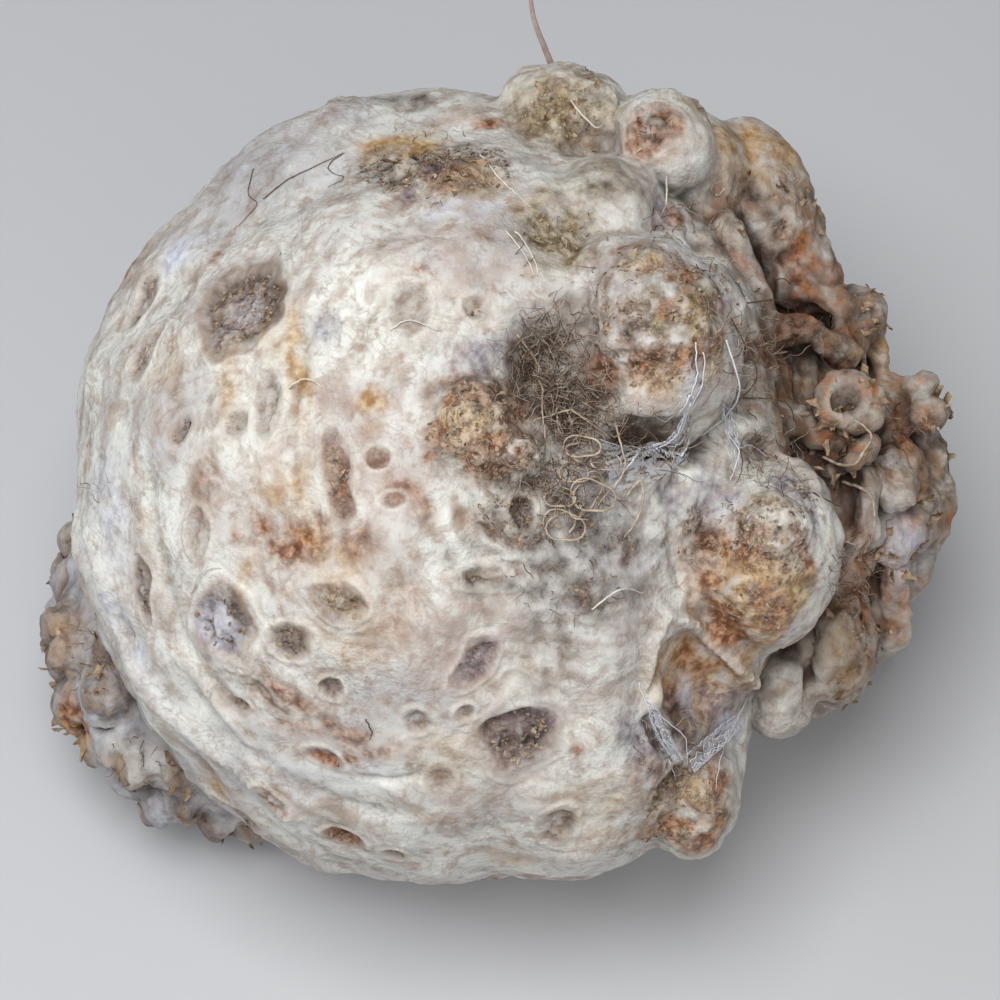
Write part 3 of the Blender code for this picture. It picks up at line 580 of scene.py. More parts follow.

# Threads, as points x, y and lift off the skin in millimetres. Taut ones run free between their points.
ROOTLETS = (  # pale-brown ones that stand off the skin
    ("taut", 0.13, ((4.4, 6.0, 0.8), (7.4, 7.4, 2.6), (10.6, 6.8, 3.2), (13.0, 4.6, 2.0))),
    ("taut", 0.2, ((16.4, -2.6, 0.6), (17.6, -0.8, 1.6), (17.9, -5.0, 1.4), (16.0, -8.0, 0.4))),
    ("taut", 0.15, ((14.6, 8.8, 0.6), (13.8, 4.0, 2.4), (14.4, -0.6, 2.2), (11.6, -5.0, 1.0))),
    ("taut", 0.12, ((4.2, 13.0, 0.6), (5.4, 9.4, 2.0), (5.2, 4.6, 2.2), (6.8, 0.4, 1.4))),
    ("taut", 0.18, ((2.6, 17.0, 0.4), (4.6, 13.4, 1.4), (5.0, 10.6, 0.4))),
    ("taut", 0.22, ((44, 2.4, 0.8), (47, 1.6, 2.2), (49, 4.6, 2.6), (47, 7, 1.2))),
    ("taut", 0.24, ((46.4, -1, 0.6), (49, -2.6, 2.0), (50.4, -7, 2.0), (49, -10, 0.8))),
)
THREADS = (  # long white ones
    ("draped", 0.12, ((-2, 40.4, 0.3), (1.4, 36.6, 0.3), (4.6, 33.4, 0.3))),
    ("draped", 0.1, ((-12.6, 17.6, 0.2), (-10.4, 18.4, 0.4), (-6.4, 17.2, 0.2))),
    ("draped", 0.12, ((1.2, 30, 0.2), (3.4, 27, 0.4), (5.2, 23.6, 0.2))),
    ("draped", 0.12, ((2.4, 30, 0.2), (4.2, 27.4, 0.4), (5.8, 23.4, 0.2))),
    ("taut", 0.14, ((10.2, 49, 0.4), (13, 46.6, 1.6), (14.4, 46, 0.4))),
    ("taut", 0.14, ((22.4, 39, 0.4), (20.4, 35, 1.8), (21, 33, 0.6))),
    ("taut", 0.13, ((-25.5, 10.4, 0.2), (-23, 11.2, 0.8), (-20.6, 10.2, 0.2))),
    ("taut", 0.12, ((-38, -15, 0.2), (-36, -12.5, 0.8), (-34, -12, 0.2))),
    ("taut", 0.13, ((12, -17, 0.2), (14.6, -14.4, 1.4), (18.4, -15, 0.3))),
)
HAIRS = (  # long dark ones
    ("draped", 0.07, ((-31.5, 40, 0.2), (-32, 36.6, 0.3), (-31, 34.6, 0.3), (-33.8, 31.6, 0.2))),
    ("draped", 0.08, ((-30, 35.6, 0.2), (-25.4, 38.8, 0.3), (-19.6, 41.6, 0.2))),
    ("draped", 0.07, ((-19.8, 41.6, 0.2), (-21.6, 39.6, 0.3), (-19.4, 38, 0.3), (-21.4, 36.8, 0.2))),
    ("draped", 0.1, ((-16, -30.6, 0.2), (-15.2, -32, 0.4), (-15.6, -33.2, 0.2))),
    ("taut", 0.11, ((30, 21, 0.6), (37, 21.6, 2.6), (42, 17, 2.0), (45, 12, 0.4))),
    ("taut", 0.1, ((32, 9.6, 0.4), (36, 8.4, 2.2), (39.4, 6, 0.6))),
    ("taut", 0.12, ((29, 19, 0.6), (31.2, 13, 1.8), (31.4, 9, 0.8))),
    ("taut", 0.1, ((30, 4.4, 0.6), (31.6, 0.6, 1.6), (30.6, -1.6, 0.4))),
    ("taut", 0.09, ((34, 24, 0.4), (39, 25.6, 1.8), (43, 22.4, 0.4))),
    ("taut", 0.1, ((40, -2.6, 0.4), (44, -4.8, 1.6), (47.6, -4, 0.4))),
)
WEBS = (  # bluish strands of the torn membrane
    ("draped", 0.1, ((24.4, 16.0, 0.2), (24.8, 12.6, 0.2), (23.8, 9.6, 0.3), (22.4, 7.4, 0.3))),
    ("draped", 0.09, ((25.6, 15.0, 0.2), (25.4, 11.0, 0.2), (24.0, 8.4, 0.2))),
    ("taut", 0.12, ((23.8, 9.6, 0.3), (22.6, 6.4, 1.8), (19.9, 2.8, 2.6), (12.6, 4.0, 0.8))),
    ("taut", 0.1, ((24.0, 8.6, 0.3), (22.8, 5.6, 1.6), (20.6, 3.0, 2.2), (23.4, 0.2, 0.4))),
    ("taut", 0.1, ((19.9, 2.8, 2.6), (17.0, 0.6, 2.0), (14.2, -2.2, 0.4))),
    (
        "taut",
        0.12,
        ((28.4, 16.4, 0.3), (29.6, 11.0, 1.2), (28.9, 6.6, 1.0), (30.0, 2.2, 1.6), (29.7, -1.2, 0.4)),
    ),
    ("taut", 0.1, ((28.9, 6.8, 1.0), (26.4, 3.6, 1.8), (23.4, 2.6, 1.4))),
    ("taut", 0.09, ((30.0, 2.4, 1.6), (33.0, 3.4, 1.2), (35.4, 2.0, 0.3))),
    ("draped", 0.09, ((18.2, -26.2, 0.2), (19.6, -30.4, 0.3), (22.0, -35.0, 0.4), (23.2, -39.4, 0.2))),
    ("taut", 0.08, ((20.6, -30.4, 0.3), (23.4, -33.6, 1.0), (24.6, -37.8, 0.2))),
    ("draped", 0.09, ((33.2, -29.4, 0.2), (31.2, -33.2, 0.4), (29.4, -37.4, 0.3), (28.6, -41.0, 0.2))),
)
# Sheets of membrane: rows of points x, y and lift.
SHEETS = (
    (
        ((24.2, 9.6, 0.5), (22.4, 6.6, 1.8), (20.2, 3.2, 2.4), (16.4, 3.4, 1.8), (12.8, 3.8, 0.6)),
        ((24.6, 5.6, 0.6), (22.6, 3.6, 1.6), (20.4, 1.6, 2.2), (17.0, 1.0, 1.6), (13.6, 0.4, 0.5)),
        ((24.4, 1.0, 0.2), (22.8, 0.2, 1.0), (20.4, -0.6, 1.2), (17.2, -1.6, 0.8), (14.4, -2.4, 0.2)),
    ),
    (
        ((28.2, 9.6, 0.6), (29.0, 5.6, 1.2), (29.6, 1.0, 0.8)),
        ((30.0, 9.0, 0.3), (30.6, 5.0, 1.4), (31.4, 0.4, 0.3)),
    ),
    (
        ((18.8, -28.4, 0.3), (20.4, -32.6, 0.7), (22.6, -37.4, 0.3)),
        ((20.4, -29.2, 0.5), (21.8, -32.8, 0.9), (24.2, -37.0, 0.4)),
    ),
    (
        ((24.6, -36.0, 0.3), (28.0, -33.4, 0.6), (31.4, -31.6, 0.3)),
        ((25.6, -38.6, 0.3), (29.4, -35.4, 0.8), (32.6, -33.6, 0.2)),
    ),
)
STRANDS = 7  # drawn along each sheet
TEAR = 0.04  # above this the noise tears the sheet open
# Tangles of short root hairs: x, y, radius, count and length.
TANGLES = (
    (6.6, 13.6, 5.2, 230, 7.5),
    (9.8, 8.0, 4.6, 250, 7.5),
    (8.6, 0.0, 5.0, 120, 6.5),
    (18.6, 3.4, 5.0, 90, 6.0),
    (31, 14, 5.0, 60, 5.0),
    (36, 2, 5.0, 60, 5.0),
    (47, -12, 5.0, 60, 4.5),
    (38, 18, 6.0, 40, 4.0),
    (24, 30, 6.0, 40, 4.0),
    (9, -9, 9.0, 90, 2.2),
    (4, -4, 5.0, 60, 2.2),
    (-9, 40, 7.0, 40, 1.6),
    (30, -7, 4.0, 30, 1.6),
    (-2, 6, 5.0, 40, 1.8),
    (22, -34, 5.0, 50, 2.6),
    (10, 24, 9.0, 50, 2.4),
    (-51, -2, 2.0, 6, 2.6),
    (-57, -26, 5.0, 26, 2.8),
    (-50, -39, 5.0, 16, 2.6),
    (55, 8, 3.0, 14, 2.6),
    (20.4, 45.2, 2.4, 16, 1.2),
)
# Coils of rootlet: x, y, lift, radius and turns.
COILS = (
    (10.4, 2.3, 2.6, 1.9, 2.6),
    (11.4, -2.4, 2.8, 2.4, 2.7),
    (8.2, -6.6, 1.8, 2.2, 1.8),
    (7.6, 5.4, 2.2, 1.6, 1.6),
    (9.2, 0.2, 2.0, 1.4, 1.4),
    (12.8, 0.8, 2.4, 1.5, 1.3),
    (7.4, -3.4, 2.0, 1.6, 1.5),
    (10.0, -4.6, 2.4, 1.2, 1.2),
    (29.8, 38.2, 1.2, 1.0, 0.9),
)
COIL_TUBE = 0.18
PALE_SHARE = 0.45  # of the root hairs in a tangle
FLAKES = 2600
SCALES = (("bark", 850, 0.7, 2.0), ("crumb", 500, 0.4, 0.95))  # mask, count, least and most length
SCALE_SHARE = 0.42  # of bark or crumb, above which there are scales
SCALE_FLOOR = 4.0  # least height above the surface that the body lies on
ROOT_STRING = ((9.4, 50, -2), (8.4, 54.4, -0.4), (6.9, 57.6, 4), (5.2, 61.4, 9), (4.4, 66, 16))

LENS = 118.3
CAMERA_RANGE = 450
CAMERA_SHIFT = (0.7, -3.4)
LAMPS = {  # place, aim, size, watts and tint
    "Key": ((-70, 150, 500), (0, 0, 0), 280, 2.15, (0.99, 1.0, 1.0)),
    "Fill": ((200, -200, 460), (0, 0, 0), 500, 0.5, (1.0, 1.0, 1.0)),
    "Rim": ((-380, 60, 240), (0, 0, 0), 300, 0.35, (0.86, 0.92, 1.0)),
}
SKY = (0.92, 0.95, 1.0)
SKY_STRENGTH = 0.21
FLOOR_SIZE = 16  # metres


def noise(places, size, seed):
    """Smooth noise between about -1 and 1, with features of the given size in millimetres."""
    draw = np.random.default_rng(seed)
    order = draw.permutation(256)
    slopes = draw.normal(size=(256, 3))
    slopes /= np.linalg.norm(slopes, axis=1, keepdims=True)
    base = np.floor(places / size).astype(int)
    part = places / size - base
    ease = part**3 * (part * (part * 6 - 15) + 10)
    total = np.zeros(len(places))
    for corner in itertools.product((0, 1), repeat=3):
        cell = (base + corner) % 256
        key = order[(order[(order[cell[:, 0]] + cell[:, 1]) % 256] + cell[:, 2]) % 256]
        weight = np.prod(np.where(corner, ease, 1 - ease), axis=1)
        total += weight * ((part - corner) * slopes[key]).sum(axis=1)
    return 1.6 * total


def rotation_to(axis):
    """The rotation that turns +Z to the axis."""
    return Vector(axis).normalized().to_track_quat("Z", "Y").to_matrix().to_4x4()


def add_blob(bm, centre, radii, axis=(0, 0, 1)):
    """An ellipsoid whose third radius lies along the axis."""
    scale = Matrix.Diagonal((*(Vector(radii) * MM), 1))
    place = Matrix.Translation(Vector(centre) * MM) @ rotation_to(axis) @ scale
    fineness = 5 if max(radii) > 9 else 3
    bmesh.ops.create_icosphere(bm, subdivisions=fineness, radius=1, matrix=place)


def add_limb(bm, points):
    """A round limb through points that carry their own radii."""
    for *place, radius in points:
        add_blob(bm, place, (radius,) * 3)
    for start, end in zip(points, points[1:]):
        a, b = Vector(start[:3]) * MM, Vector(end[:3]) * MM
        place = Matrix.Translation((a + b) / 2) @ rotation_to(b - a)
        bmesh.ops.create_cone(
            bm,
            cap_ends=True,
            segments=24,
            radius1=start[3] * MM,
            radius2=end[3] * MM,
            depth=(b - a).length,
            matrix=place,
        )


def add_ring_stub(bm):
    """The rim of the hollow stub, as a closed row of balls that overlap."""
    turn = rotation_to(RING_AXIS).to_3x3()
    count = 18
    for i in range(count):
        angle = math.tau * i / count
        out = turn @ Vector((math.cos(angle), math.sin(angle), 0))
        add_blob(bm, Vector(RING_PLACE) + out * RING_RADIUS, (RING_WALL,) * 3)


def add_crown(bm, rng):
    """The cut crown: a boss with rings of stalk stubs, and a stump in the middle."""
    centre = Vector(BULB_CENTRE) + CROWN_AXIS * CROWN_OFF
    add_blob(bm, centre, CROWN_RADII, CROWN_AXIS)
    add_blob(bm, centre + CROWN_AXIS * CROWN_RADII[2], CROWN_STUMP, CROWN_AXIS)
    turn = rotation_to(CROWN_AXIS).to_3x3()
    for ring, count, size in CROWN_RINGS:
        for i in range(count):
            angle = math.tau * (i + rng.uniform(-0.3, 0.3)) / count
            off = ring * rng.uniform(0.93, 1.04)
            rise = CROWN_RADII[2] * math.sqrt(max(0, 1 - (off / CROWN_RADII[0]) ** 2))
            foot = Vector((math.cos(angle) * off, math.sin(angle) * off, rise))
            radius = size * rng.uniform(0.6, 1.15)
            add_blob(bm, centre + turn @ foot, (radius, radius, radius * 1.2), CROWN_AXIS)


def add_gnarls(bm, rng):
    """Small knobs all over the right mass, where most roots grew."""
    centre, radii = LUMPS["right mass"]
    for _ in range(GNARLS):
        out = Vector((rng.uniform(0.1, 1), rng.uniform(-1, 1), rng.uniform(-0.9, 0.8))).normalized()
        place = Vector(centre) + Vector([o * r for o, r in zip(out, radii)])
        add_blob(bm, place, (rng.uniform(2.0, 4.2), rng.uniform(2.0, 5.5), rng.uniform(2.0, 4.2)))


def clay(rng):
    """All lumps and limbs, still overlapping, in one mesh."""
    bm = bmesh.new()
    add_blob(bm, BULB_CENTRE, BULB_RADII)
    for centre, radii in LUMPS.values():
        add_blob(bm, centre, radii)
    for points in LIMBS.values():
        add_limb(bm, points)
    add_ring_stub(bm)
    add_crown(bm, rng)
    add_gnarls(bm, rng)
    mesh = bpy.data.meshes.new("clay")
    bm.to_mesh(mesh)
    bm.free()
    return mesh


def cells(places, size, seed):
    """The distance to the nearest of the points that lie at random in cells, and that point's draw."""
    draw = np.random.default_rng(seed)
    order = draw.permutation(256)
    points = draw.uniform(size=(256, 3))
    marks = draw.uniform(size=256)
    base = np.floor(places / size).astype(int)
    nearest = np.full(len(places), np.inf)
    mark = np.zeros(len(places))
    for corner in itertools.product((-1, 0, 1), repeat=3):
        cell = base + corner
        key = order[(order[(order[cell[:, 0] % 256] + cell[:, 1]) % 256] + cell[:, 2]) % 256]
        gap = np.linalg.norm((cell + points[key]) * size - places, axis=1)
        closer = gap < nearest
        nearest = np.where(closer, gap, nearest)
        mark = np.where(closer, marks[key], mark)
    return nearest, mark


def applied(ob):
    """The object's mesh with its modifiers applied. The object and its own mesh are removed."""
    bpy.context.view_layer.update()
    mesh = ob.data
    final = bpy.data.meshes.new_from_object(ob.evaluated_get(bpy.context.evaluated_depsgraph_get()))
    bpy.data.objects.remove(ob)
    bpy.data.meshes.remove(mesh)
    return final


def linked(name, data):
    """A new object in the scene."""
    ob = bpy.data.objects.new(name, data)
    bpy.context.scene.collection.objects.link(ob)
    return ob


def fused(mesh):
    """One closed skin round the mesh, with its joints softened."""
    ob = linked("clay", mesh)
    remesh = ob.modifiers.new("Fuse", "REMESH")
    remesh.mode = "VOXEL"
    remesh.voxel_size = VOXEL * MM
    soften = ob.modifiers.new("Soften", "SMOOTH")
    soften.factor = 0.5
    soften.iterations = round(SOFTENING / VOXEL**2)
    return applied(ob)


class Skin:
    """A skin as arrays in millimetres, with what is pressed into it."""

    def __init__(self, mesh):
        self.mesh = mesh
        self.places = np.empty(len(mesh.vertices) * 3)
        mesh.vertices.foreach_get("co", self.places)
        self.places = self.places.reshape(-1, 3) / MM
        self.refresh()

    def refresh(self):
        """Writes the places back and takes new normals and a new search tree."""
        self.mesh.vertices.foreach_set("co", (self.places * MM).ravel())
        self.mesh.update()
        self.normals = np.empty(len(self.places) * 3)
        self.mesh.vertex_normals.foreach_get("vector", self.normals)
        self.normals = self.normals.reshape(-1, 3)
        corners = self.places.tolist()
        faces = [tuple(f.vertices) for f in self.mesh.polygons]
        self.tree = BVHTree.FromPolygons(corners, faces)
        self.rise = np.zeros(len(self.places))
        size, amount = EYE_WANDER
        self.wander = 1 + amount * noise(self.places, size, SEED + 5)

    def press(self):
        """Moves every point along its normal by the rise gathered so far."""
        self.places += self.normals * self.rise[:, None]
        self.refresh()

    def on_face(self, x, y):
        """The point and normal of the skin straight behind x, y of the face."""
        hit, normal, _, _ = self.tree.ray_cast(Vector((x, y, 200)), Vector((0, 0, -1)))
        return hit, normal

    def reach(self, spot, normal, length, width, turn):
        """How far each point is from a spot, in half lengths and half widths of a turned ellipse."""
        along = Vector((math.cos(math.radians(turn)), math.sin(math.radians(turn)), 0))
        along = (along - normal * along.dot(normal)).normalized()
        across = normal.cross(along)
        offset = self.places - np.array(spot)
        u, v = offset @ np.array(along) / length, offset @ np.array(across) / width
        w = offset @ np.array(normal) / (2.5 * max(length, width))
        return np.sqrt(u * u + v * v + w * w)

    def swell(self, spot, normal, length, width, turn, height):
        """A soft hollow or swelling."""
        reach = self.reach(spot, normal, length, width, turn)
        self.rise += height * np.exp(-(reach**2))

    def eye(self, spot, normal, length, width, turn, depth):
        """A shallow pit with an uneven rim, in a wider dent."""
        reach = self.reach(spot, normal, length, width, turn) * self.wander
        start, slope, share = EYE_PIT
        pit = np.clip((start - reach) / slope, 0, 1)
        self.rise -= share * depth * pit * pit * (3 - 2 * pit)
        place, half, height = EYE_RIM
        self.rise += height * depth * np.exp(-(((reach - place) / half) ** 2))
        half, share = EYE_DENT
        self.rise -= share * depth * np.exp(-((reach / half) ** 2))

    def groove(self, points, width, depth):
        """A groove, or a ridge if depth is below zero, along points of the face."""
        gap = np.full(len(self.places), np.inf)
        for (x0, y0), (x1, y1) in zip(points, points[1:]):
            steps = max(2, round(math.hypot(x1 - x0, y1 - y0) / (0.7 * width)))
            for i in range(steps + 1):
                t = i / steps
                spot, _ = self.on_face(x0 + (x1 - x0) * t, y0 + (y1 - y0) * t)
                gap = np.minimum(gap, ((self.places - np.array(spot)) ** 2).sum(axis=1))
        self.rise -= depth * np.exp(-gap / width**2)

    def patch(self, x, y, length, width, turn, strength):
        """A soft-edged patch on the face, as a number for each point."""
        reach = self.reach(*self.on_face(x, y), length, width, turn)
        return strength * np.clip(1.6 - reach, 0, 1)


def hidden_eyes(skin, rng):
    """Eyes on the sides that the face doesn't show, at random but clear of each other."""
    taken = []
    while len(taken) < HIDDEN_EYES:
        out = Vector((rng.gauss(0, 1), rng.gauss(0, 1), rng.gauss(-0.4, 1))).normalized()
        spot, normal, _, _ = skin.tree.ray_cast(out * 200, -out)
        length = rng.uniform(*HIDDEN_LENGTHS)
        height = spot.y * math.sin(math.radians(FACE_LEAN)) + spot.z * math.cos(math.radians(FACE_LEAN))
        if normal.z > HIDDEN_FACING or height < HIDDEN_FLOOR - FACE_HEIGHT:
            continue
        if any((spot - other).length < HIDDEN_GAP * (length + size) for other, _, size, _, _, _ in taken):
            continue
        width, turn = length * rng.uniform(*HIDDEN_WIDTHS), rng.uniform(0, 180)
        taken.append((spot, normal, length, width, turn, HIDDEN_DEPTH * length))
    return taken


def crown_folds(skin):
    """Uneven folds that run round the crown, on the bulb beside it."""
    spacing, nearest, furthest, height = CROWN_FOLDS
    begin, end = FOLD_FADES
    out = skin.places - np.array(BULB_CENTRE)
    cosine = out @ np.array(CROWN_AXIS) / np.linalg.norm(out, axis=1)
    angle = np.degrees(np.arccos(np.clip(cosine, -1, 1)))
    fade = np.clip((angle - nearest) / begin, 0, 1) * np.clip((furthest - angle) / end, 0, 1)
    size, amount = FOLD_WANDER
    wander = amount * noise(skin.places, size, SEED + 3)
    size, mean, amount = FOLD_STRENGTH
    strength = mean + amount * noise(skin.places, size, SEED + 4)
    skin.rise += height * fade * strength * np.sin(math.tau * (angle + wander) / spacing)


def knobbliness(places):
    """How knobbly the body is at each point, from 0 to 1."""
    total = np.zeros(len(places))
    for centre, radius in ROUGH_PLACES:
        gap = np.linalg.norm(places - np.array(centre), axis=1) / radius
        total = np.maximum(total, np.clip(2 * (1 - gap), 0, 1))
    return total


def sculpted(mesh, rng):
    """Presses the hollows, wrinkles, facet and eyes into the skin. Returns where every eye is."""
    skin = Skin(mesh)
    for size, height, step in WAVES:
        skin.rise += height * noise(skin.places, size, SEED + step)
    size, height, step = KNOBBLES
    skin.rise += height * knobbliness(skin.places) * noise(skin.places, size, SEED + step)
    crown_folds(skin)
    for x, y, *shape in SWELLS.values():
        skin.swell(*skin.on_face(x, y), *shape)
    x, y, length, width, turn, depth = FACET
    reach = skin.reach(*skin.on_face(x, y), length, width, turn)
    edge, slope = FACET_EDGE
    skin.rise -= depth * np.clip((edge - reach) / slope, 0, 1)
    skin.press()
    for points, width, depth in GROOVES.values():
        skin.groove(points, width, depth)
    eyes = [(*skin.on_face(x, y), *shape) for x, y, *shape in EYES.values()]
    eyes += hidden_eyes(skin, rng)
    for eye in eyes:
        skin.eye(*eye)
    skin.press()
    return skin, eyes


def slope(values, width):
    """Values over a width, kept from 0 to 1."""
    return np.clip(values / width, 0, 1)


def ring_fade(reach, end):
    """How strong the rings round an eye are, up to where they end."""
    start, width = RING_START
    return slope(end - reach, RING_END[1]) * slope(reach - start, width)


def ring_wave(reach, length, width):
    """The rings round an eye, from -1 to 1."""
    return np.sin(math.tau * reach * max(length, width) / RING_SPACING)


def refined(skin, eyes):
    """Lays the fine relief: crust, pores, ripples, and rough floors and rings in the eyes."""
    places = skin.places
    crust = np.zeros(len(places))
    for patch in CRUSTS:
        crust = np.maximum(crust, skin.patch(*patch))
    wood = np.clip(nearness(places, WOODY), 0, 1)
    broad = np.maximum(TAN_CRUST * nearness(places, TANNED), KNOB_CRUST * knobbliness(places))
    crust = np.maximum(crust, broad)
    edge, width_of_edge, strength = EYE_CRUST
    for *at, length, width, turn, _ in eyes:
        if length > BIG_EYE:
            reach = skin.reach(*at, length, width, turn) * skin.wander
            wood = np.maximum(wood, EYE_WOOD * slope(edge - reach, width_of_edge))
    grained = places * np.array(WOOD_GRAIN)
    for step, (size, height) in enumerate(PEEL):
        skin.rise += height * wood * np.clip(noise(grained, size, SEED + 20 + step) / PEEL_EDGE, -1, 1)
    for size, height in BARK:
        ridges = RIDGE_LEVEL - np.abs(noise(grained, size, SEED + 30 + round(10 * size)))
        skin.rise += height * wood * ridges
    floor_height, floor_width = EYE_FLOOR
    for *at, length, width, turn, depth in eyes:
        reach = skin.reach(*at, length, width, turn) * skin.wander
        crust = np.maximum(crust, strength * slope(edge - reach, width_of_edge))
        if length > BIG_EYE:
            skin.rise += floor_height * depth * np.exp(-((reach / floor_width) ** 2))
        skin.rise += RING_HEIGHT * ring_fade(reach, RING_END[0]) * ring_wave(reach, length, width)
    for size, height in GRAIN:
        skin.rise += height * noise(places, size, SEED + round(10 * size))
    for size, height in CRUMB:
        ridges = RIDGE_LEVEL - np.abs(noise(places, size, SEED + round(10 * size) + 1))
        skin.rise += height * crust * ridges
    gap, radius = pores(places)
    skin.rise -= PORE_DEPTH * radius * np.exp(-((gap / radius) ** 2))
    ripple(skin)
    skin.press()


def pores(places):
    """The distance to the nearest pore, and that pore's radius."""
    spacing, least, most = PORES
    gap, mark = cells(places, spacing, SEED + 5)
    return gap, least + (most - least) * mark**2


def ripple(skin):
    """Ripples that run round the root end, and fade in and out."""
    places = skin.places
    out = np.hypot(places[:, 0] - ROOT_END[0], places[:, 1] - ROOT_END[1])
    spacing, height = RIPPLES
    size, amount = RIPPLE_WANDER
    wave = np.sin(math.tau * (out + amount * noise(places, size, SEED + 6)) / spacing)
    near, near_width, far, far_width = RIPPLE_FADES
    fade = slope(out - near, near_width) * slope(far - out, far_width)
    size, mean, amount = RIPPLE_STRENGTH
    skin.rise += height * fade * wave * np.clip(mean + amount * noise(places, size, SEED + 7), 0, 1)


def nearness(places, table):
    """How near each point is to the places in a table."""
    total = np.zeros(len(places))
    for centre, radius, strength in table:
        gap = np.linalg.norm(places - np.array(centre), axis=1) / radius
        total = np.maximum(total, strength * np.clip(1.5 - gap, 0, 1))
    return total


def in_row_frame():
    """The matrix that takes the face frame to the row's."""
    lean = Matrix.Rotation(math.radians(FACE_LEAN), 4, "X")
    return Matrix.Translation(Vector((-SPOT[0], -SPOT[1], FACE_HEIGHT)) * MM) @ lean


def rested(mesh):
    """The skin cut flat where it rests, still in the face frame."""
    ob = linked("skin", mesh)
    ob.matrix_world = in_row_frame()
    bpy.ops.mesh.primitive_cube_add(size=1, location=(0, 0, -0.025), scale=(0.3, 0.3, 0.05))
    block = bpy.context.object
    cut = ob.modifiers.new("Resting spot", "BOOLEAN")
    cut.operation = "DIFFERENCE"
    cut.object = block
    cut.solver = "MANIFOLD"
    final = applied(ob)
    bpy.data.objects.remove(block)
    return final


def thinned(mesh):
    """The skin with fewer triangles, that keeps its normals so that parts of it meet without a line."""
    ob = linked("skin", mesh)
    thin = ob.modifiers.new("Thin", "DECIMATE")
    thin.ratio = min(1, TRIANGLES / sum(len(f.vertices) - 2 for f in mesh.polygons))
    final = applied(ob)
    normals = np.empty(len(final.vertices) * 3, np.float32)
    final.vertex_normals.foreach_get("vector", normals)
    final.attributes.new("facing", "FLOAT_VECTOR", "POINT").data.foreach_set("vector", normals)
    return final


def parted(mesh, low, high):
    """The part of the skin between two depths of the face."""
    bm = bmesh.new()
    bm.from_mesh(mesh)
    others = [f for f in bm.faces if not low < f.calc_center_median().z / MM <= high]
    bmesh.ops.delete(bm, geom=others, context="FACES")
    part = mesh.copy()
    bm.to_mesh(part)
    bm.free()
    return part


def keep_normals(mesh):
    """Gives a part of the skin, in the row's frame, the normals that the whole skin had."""
    normals = np.empty(len(mesh.vertices) * 3, np.float32)
    mesh.attributes["facing"].data.foreach_get("vector", normals)
    turn = np.array(in_row_frame().to_3x3())
    mesh.normals_split_custom_set_from_vertices(normals.reshape(-1, 3) @ turn.T)
    mesh.attributes.remove(mesh.attributes["facing"])


def neighbours(mesh):
    """The two ends of every edge."""
    ends = np.empty(len(mesh.edges) * 2, int)
    mesh.edges.foreach_get("vertices", ends)
    return ends.reshape(-1, 2).T


def evened(values, ends, passes):
    """Values, or rows of them, each moved towards the mean of its neighbours a number of times."""
    a, b = ends
    rows = values.reshape(len(values), -1).copy()
    size = len(rows)
    count = np.bincount(a, minlength=size) + np.bincount(b, minlength=size)
    for _ in range(passes):
        for column in rows.T:
            total = np.bincount(a, column[b], size) + np.bincount(b, column[a], size)
            column += 0.6 * (total / count - column)
    return rows.reshape(values.shape)


def hollowness(skin, ends, passes, scale):
    """How far each point lies below its evened neighbourhood, over the scale in millimetres."""
    offset = evened(skin.places, ends, passes) - skin.places
    return (offset * skin.normals).sum(axis=1) / scale


def openness(skin, ends):
    """The share of rays from each point that get clear of the root nearby."""
    draw = random.Random(SEED + 2)
    rays = [Vector(draw.gauss(0, 1) for _ in range(3)).normalized() for _ in range(OPEN_RAYS)]
    clear = np.zeros(len(skin.places))
    for i, (place, normal) in enumerate(zip(skin.places.tolist(), skin.normals.tolist())):
        up = Vector(normal)
        start = Vector(place) + up * 0.3
        for ray in rays:
            if skin.tree.ray_cast(start, ray + 1.15 * up, OPEN_REACH)[0] is None:
                clear[i] += 1
    return evened(clear / OPEN_RAYS, ends, OPEN_SPREAD)


def hidden_spots(skin, count, draw):
    """Places at random on the sides that the face doesn't show, with their normals."""
    spots = []
    while len(spots) < count:
        out = Vector((draw.gauss(0, 1), draw.gauss(0, 1), draw.gauss(-0.4, 1))).normalized()
        spot, normal, _, _ = skin.tree.ray_cast(out * 200, -out)
        if normal.z < HIDDEN_FACING:
            spots.append((spot, normal))
    return spots


def stain_masks(skin, breakup):
    """Where each kind of stain lies."""
    found = {}
    draw = random.Random(SEED + 4)
    for kind, patches in STAINS.items():
        total = np.zeros(len(skin.places))
        for patch in patches:
            total = np.maximum(total, skin.patch(*patch))
        for spot, normal in hidden_spots(skin, HIDDEN_STAINS.get(kind, 0), draw):
            length = draw.uniform(*HIDDEN_STAIN_SIZES)
            reach = skin.reach(spot, normal, length, length * draw.uniform(0.4, 1), draw.uniform(0, 180))
            total = np.maximum(total, draw.uniform(0.4, 1) * np.clip(1.6 - reach, 0, 1))
        found[kind] = np.clip(total * (1 + 1.3 * breakup), 0, 1)
    return found


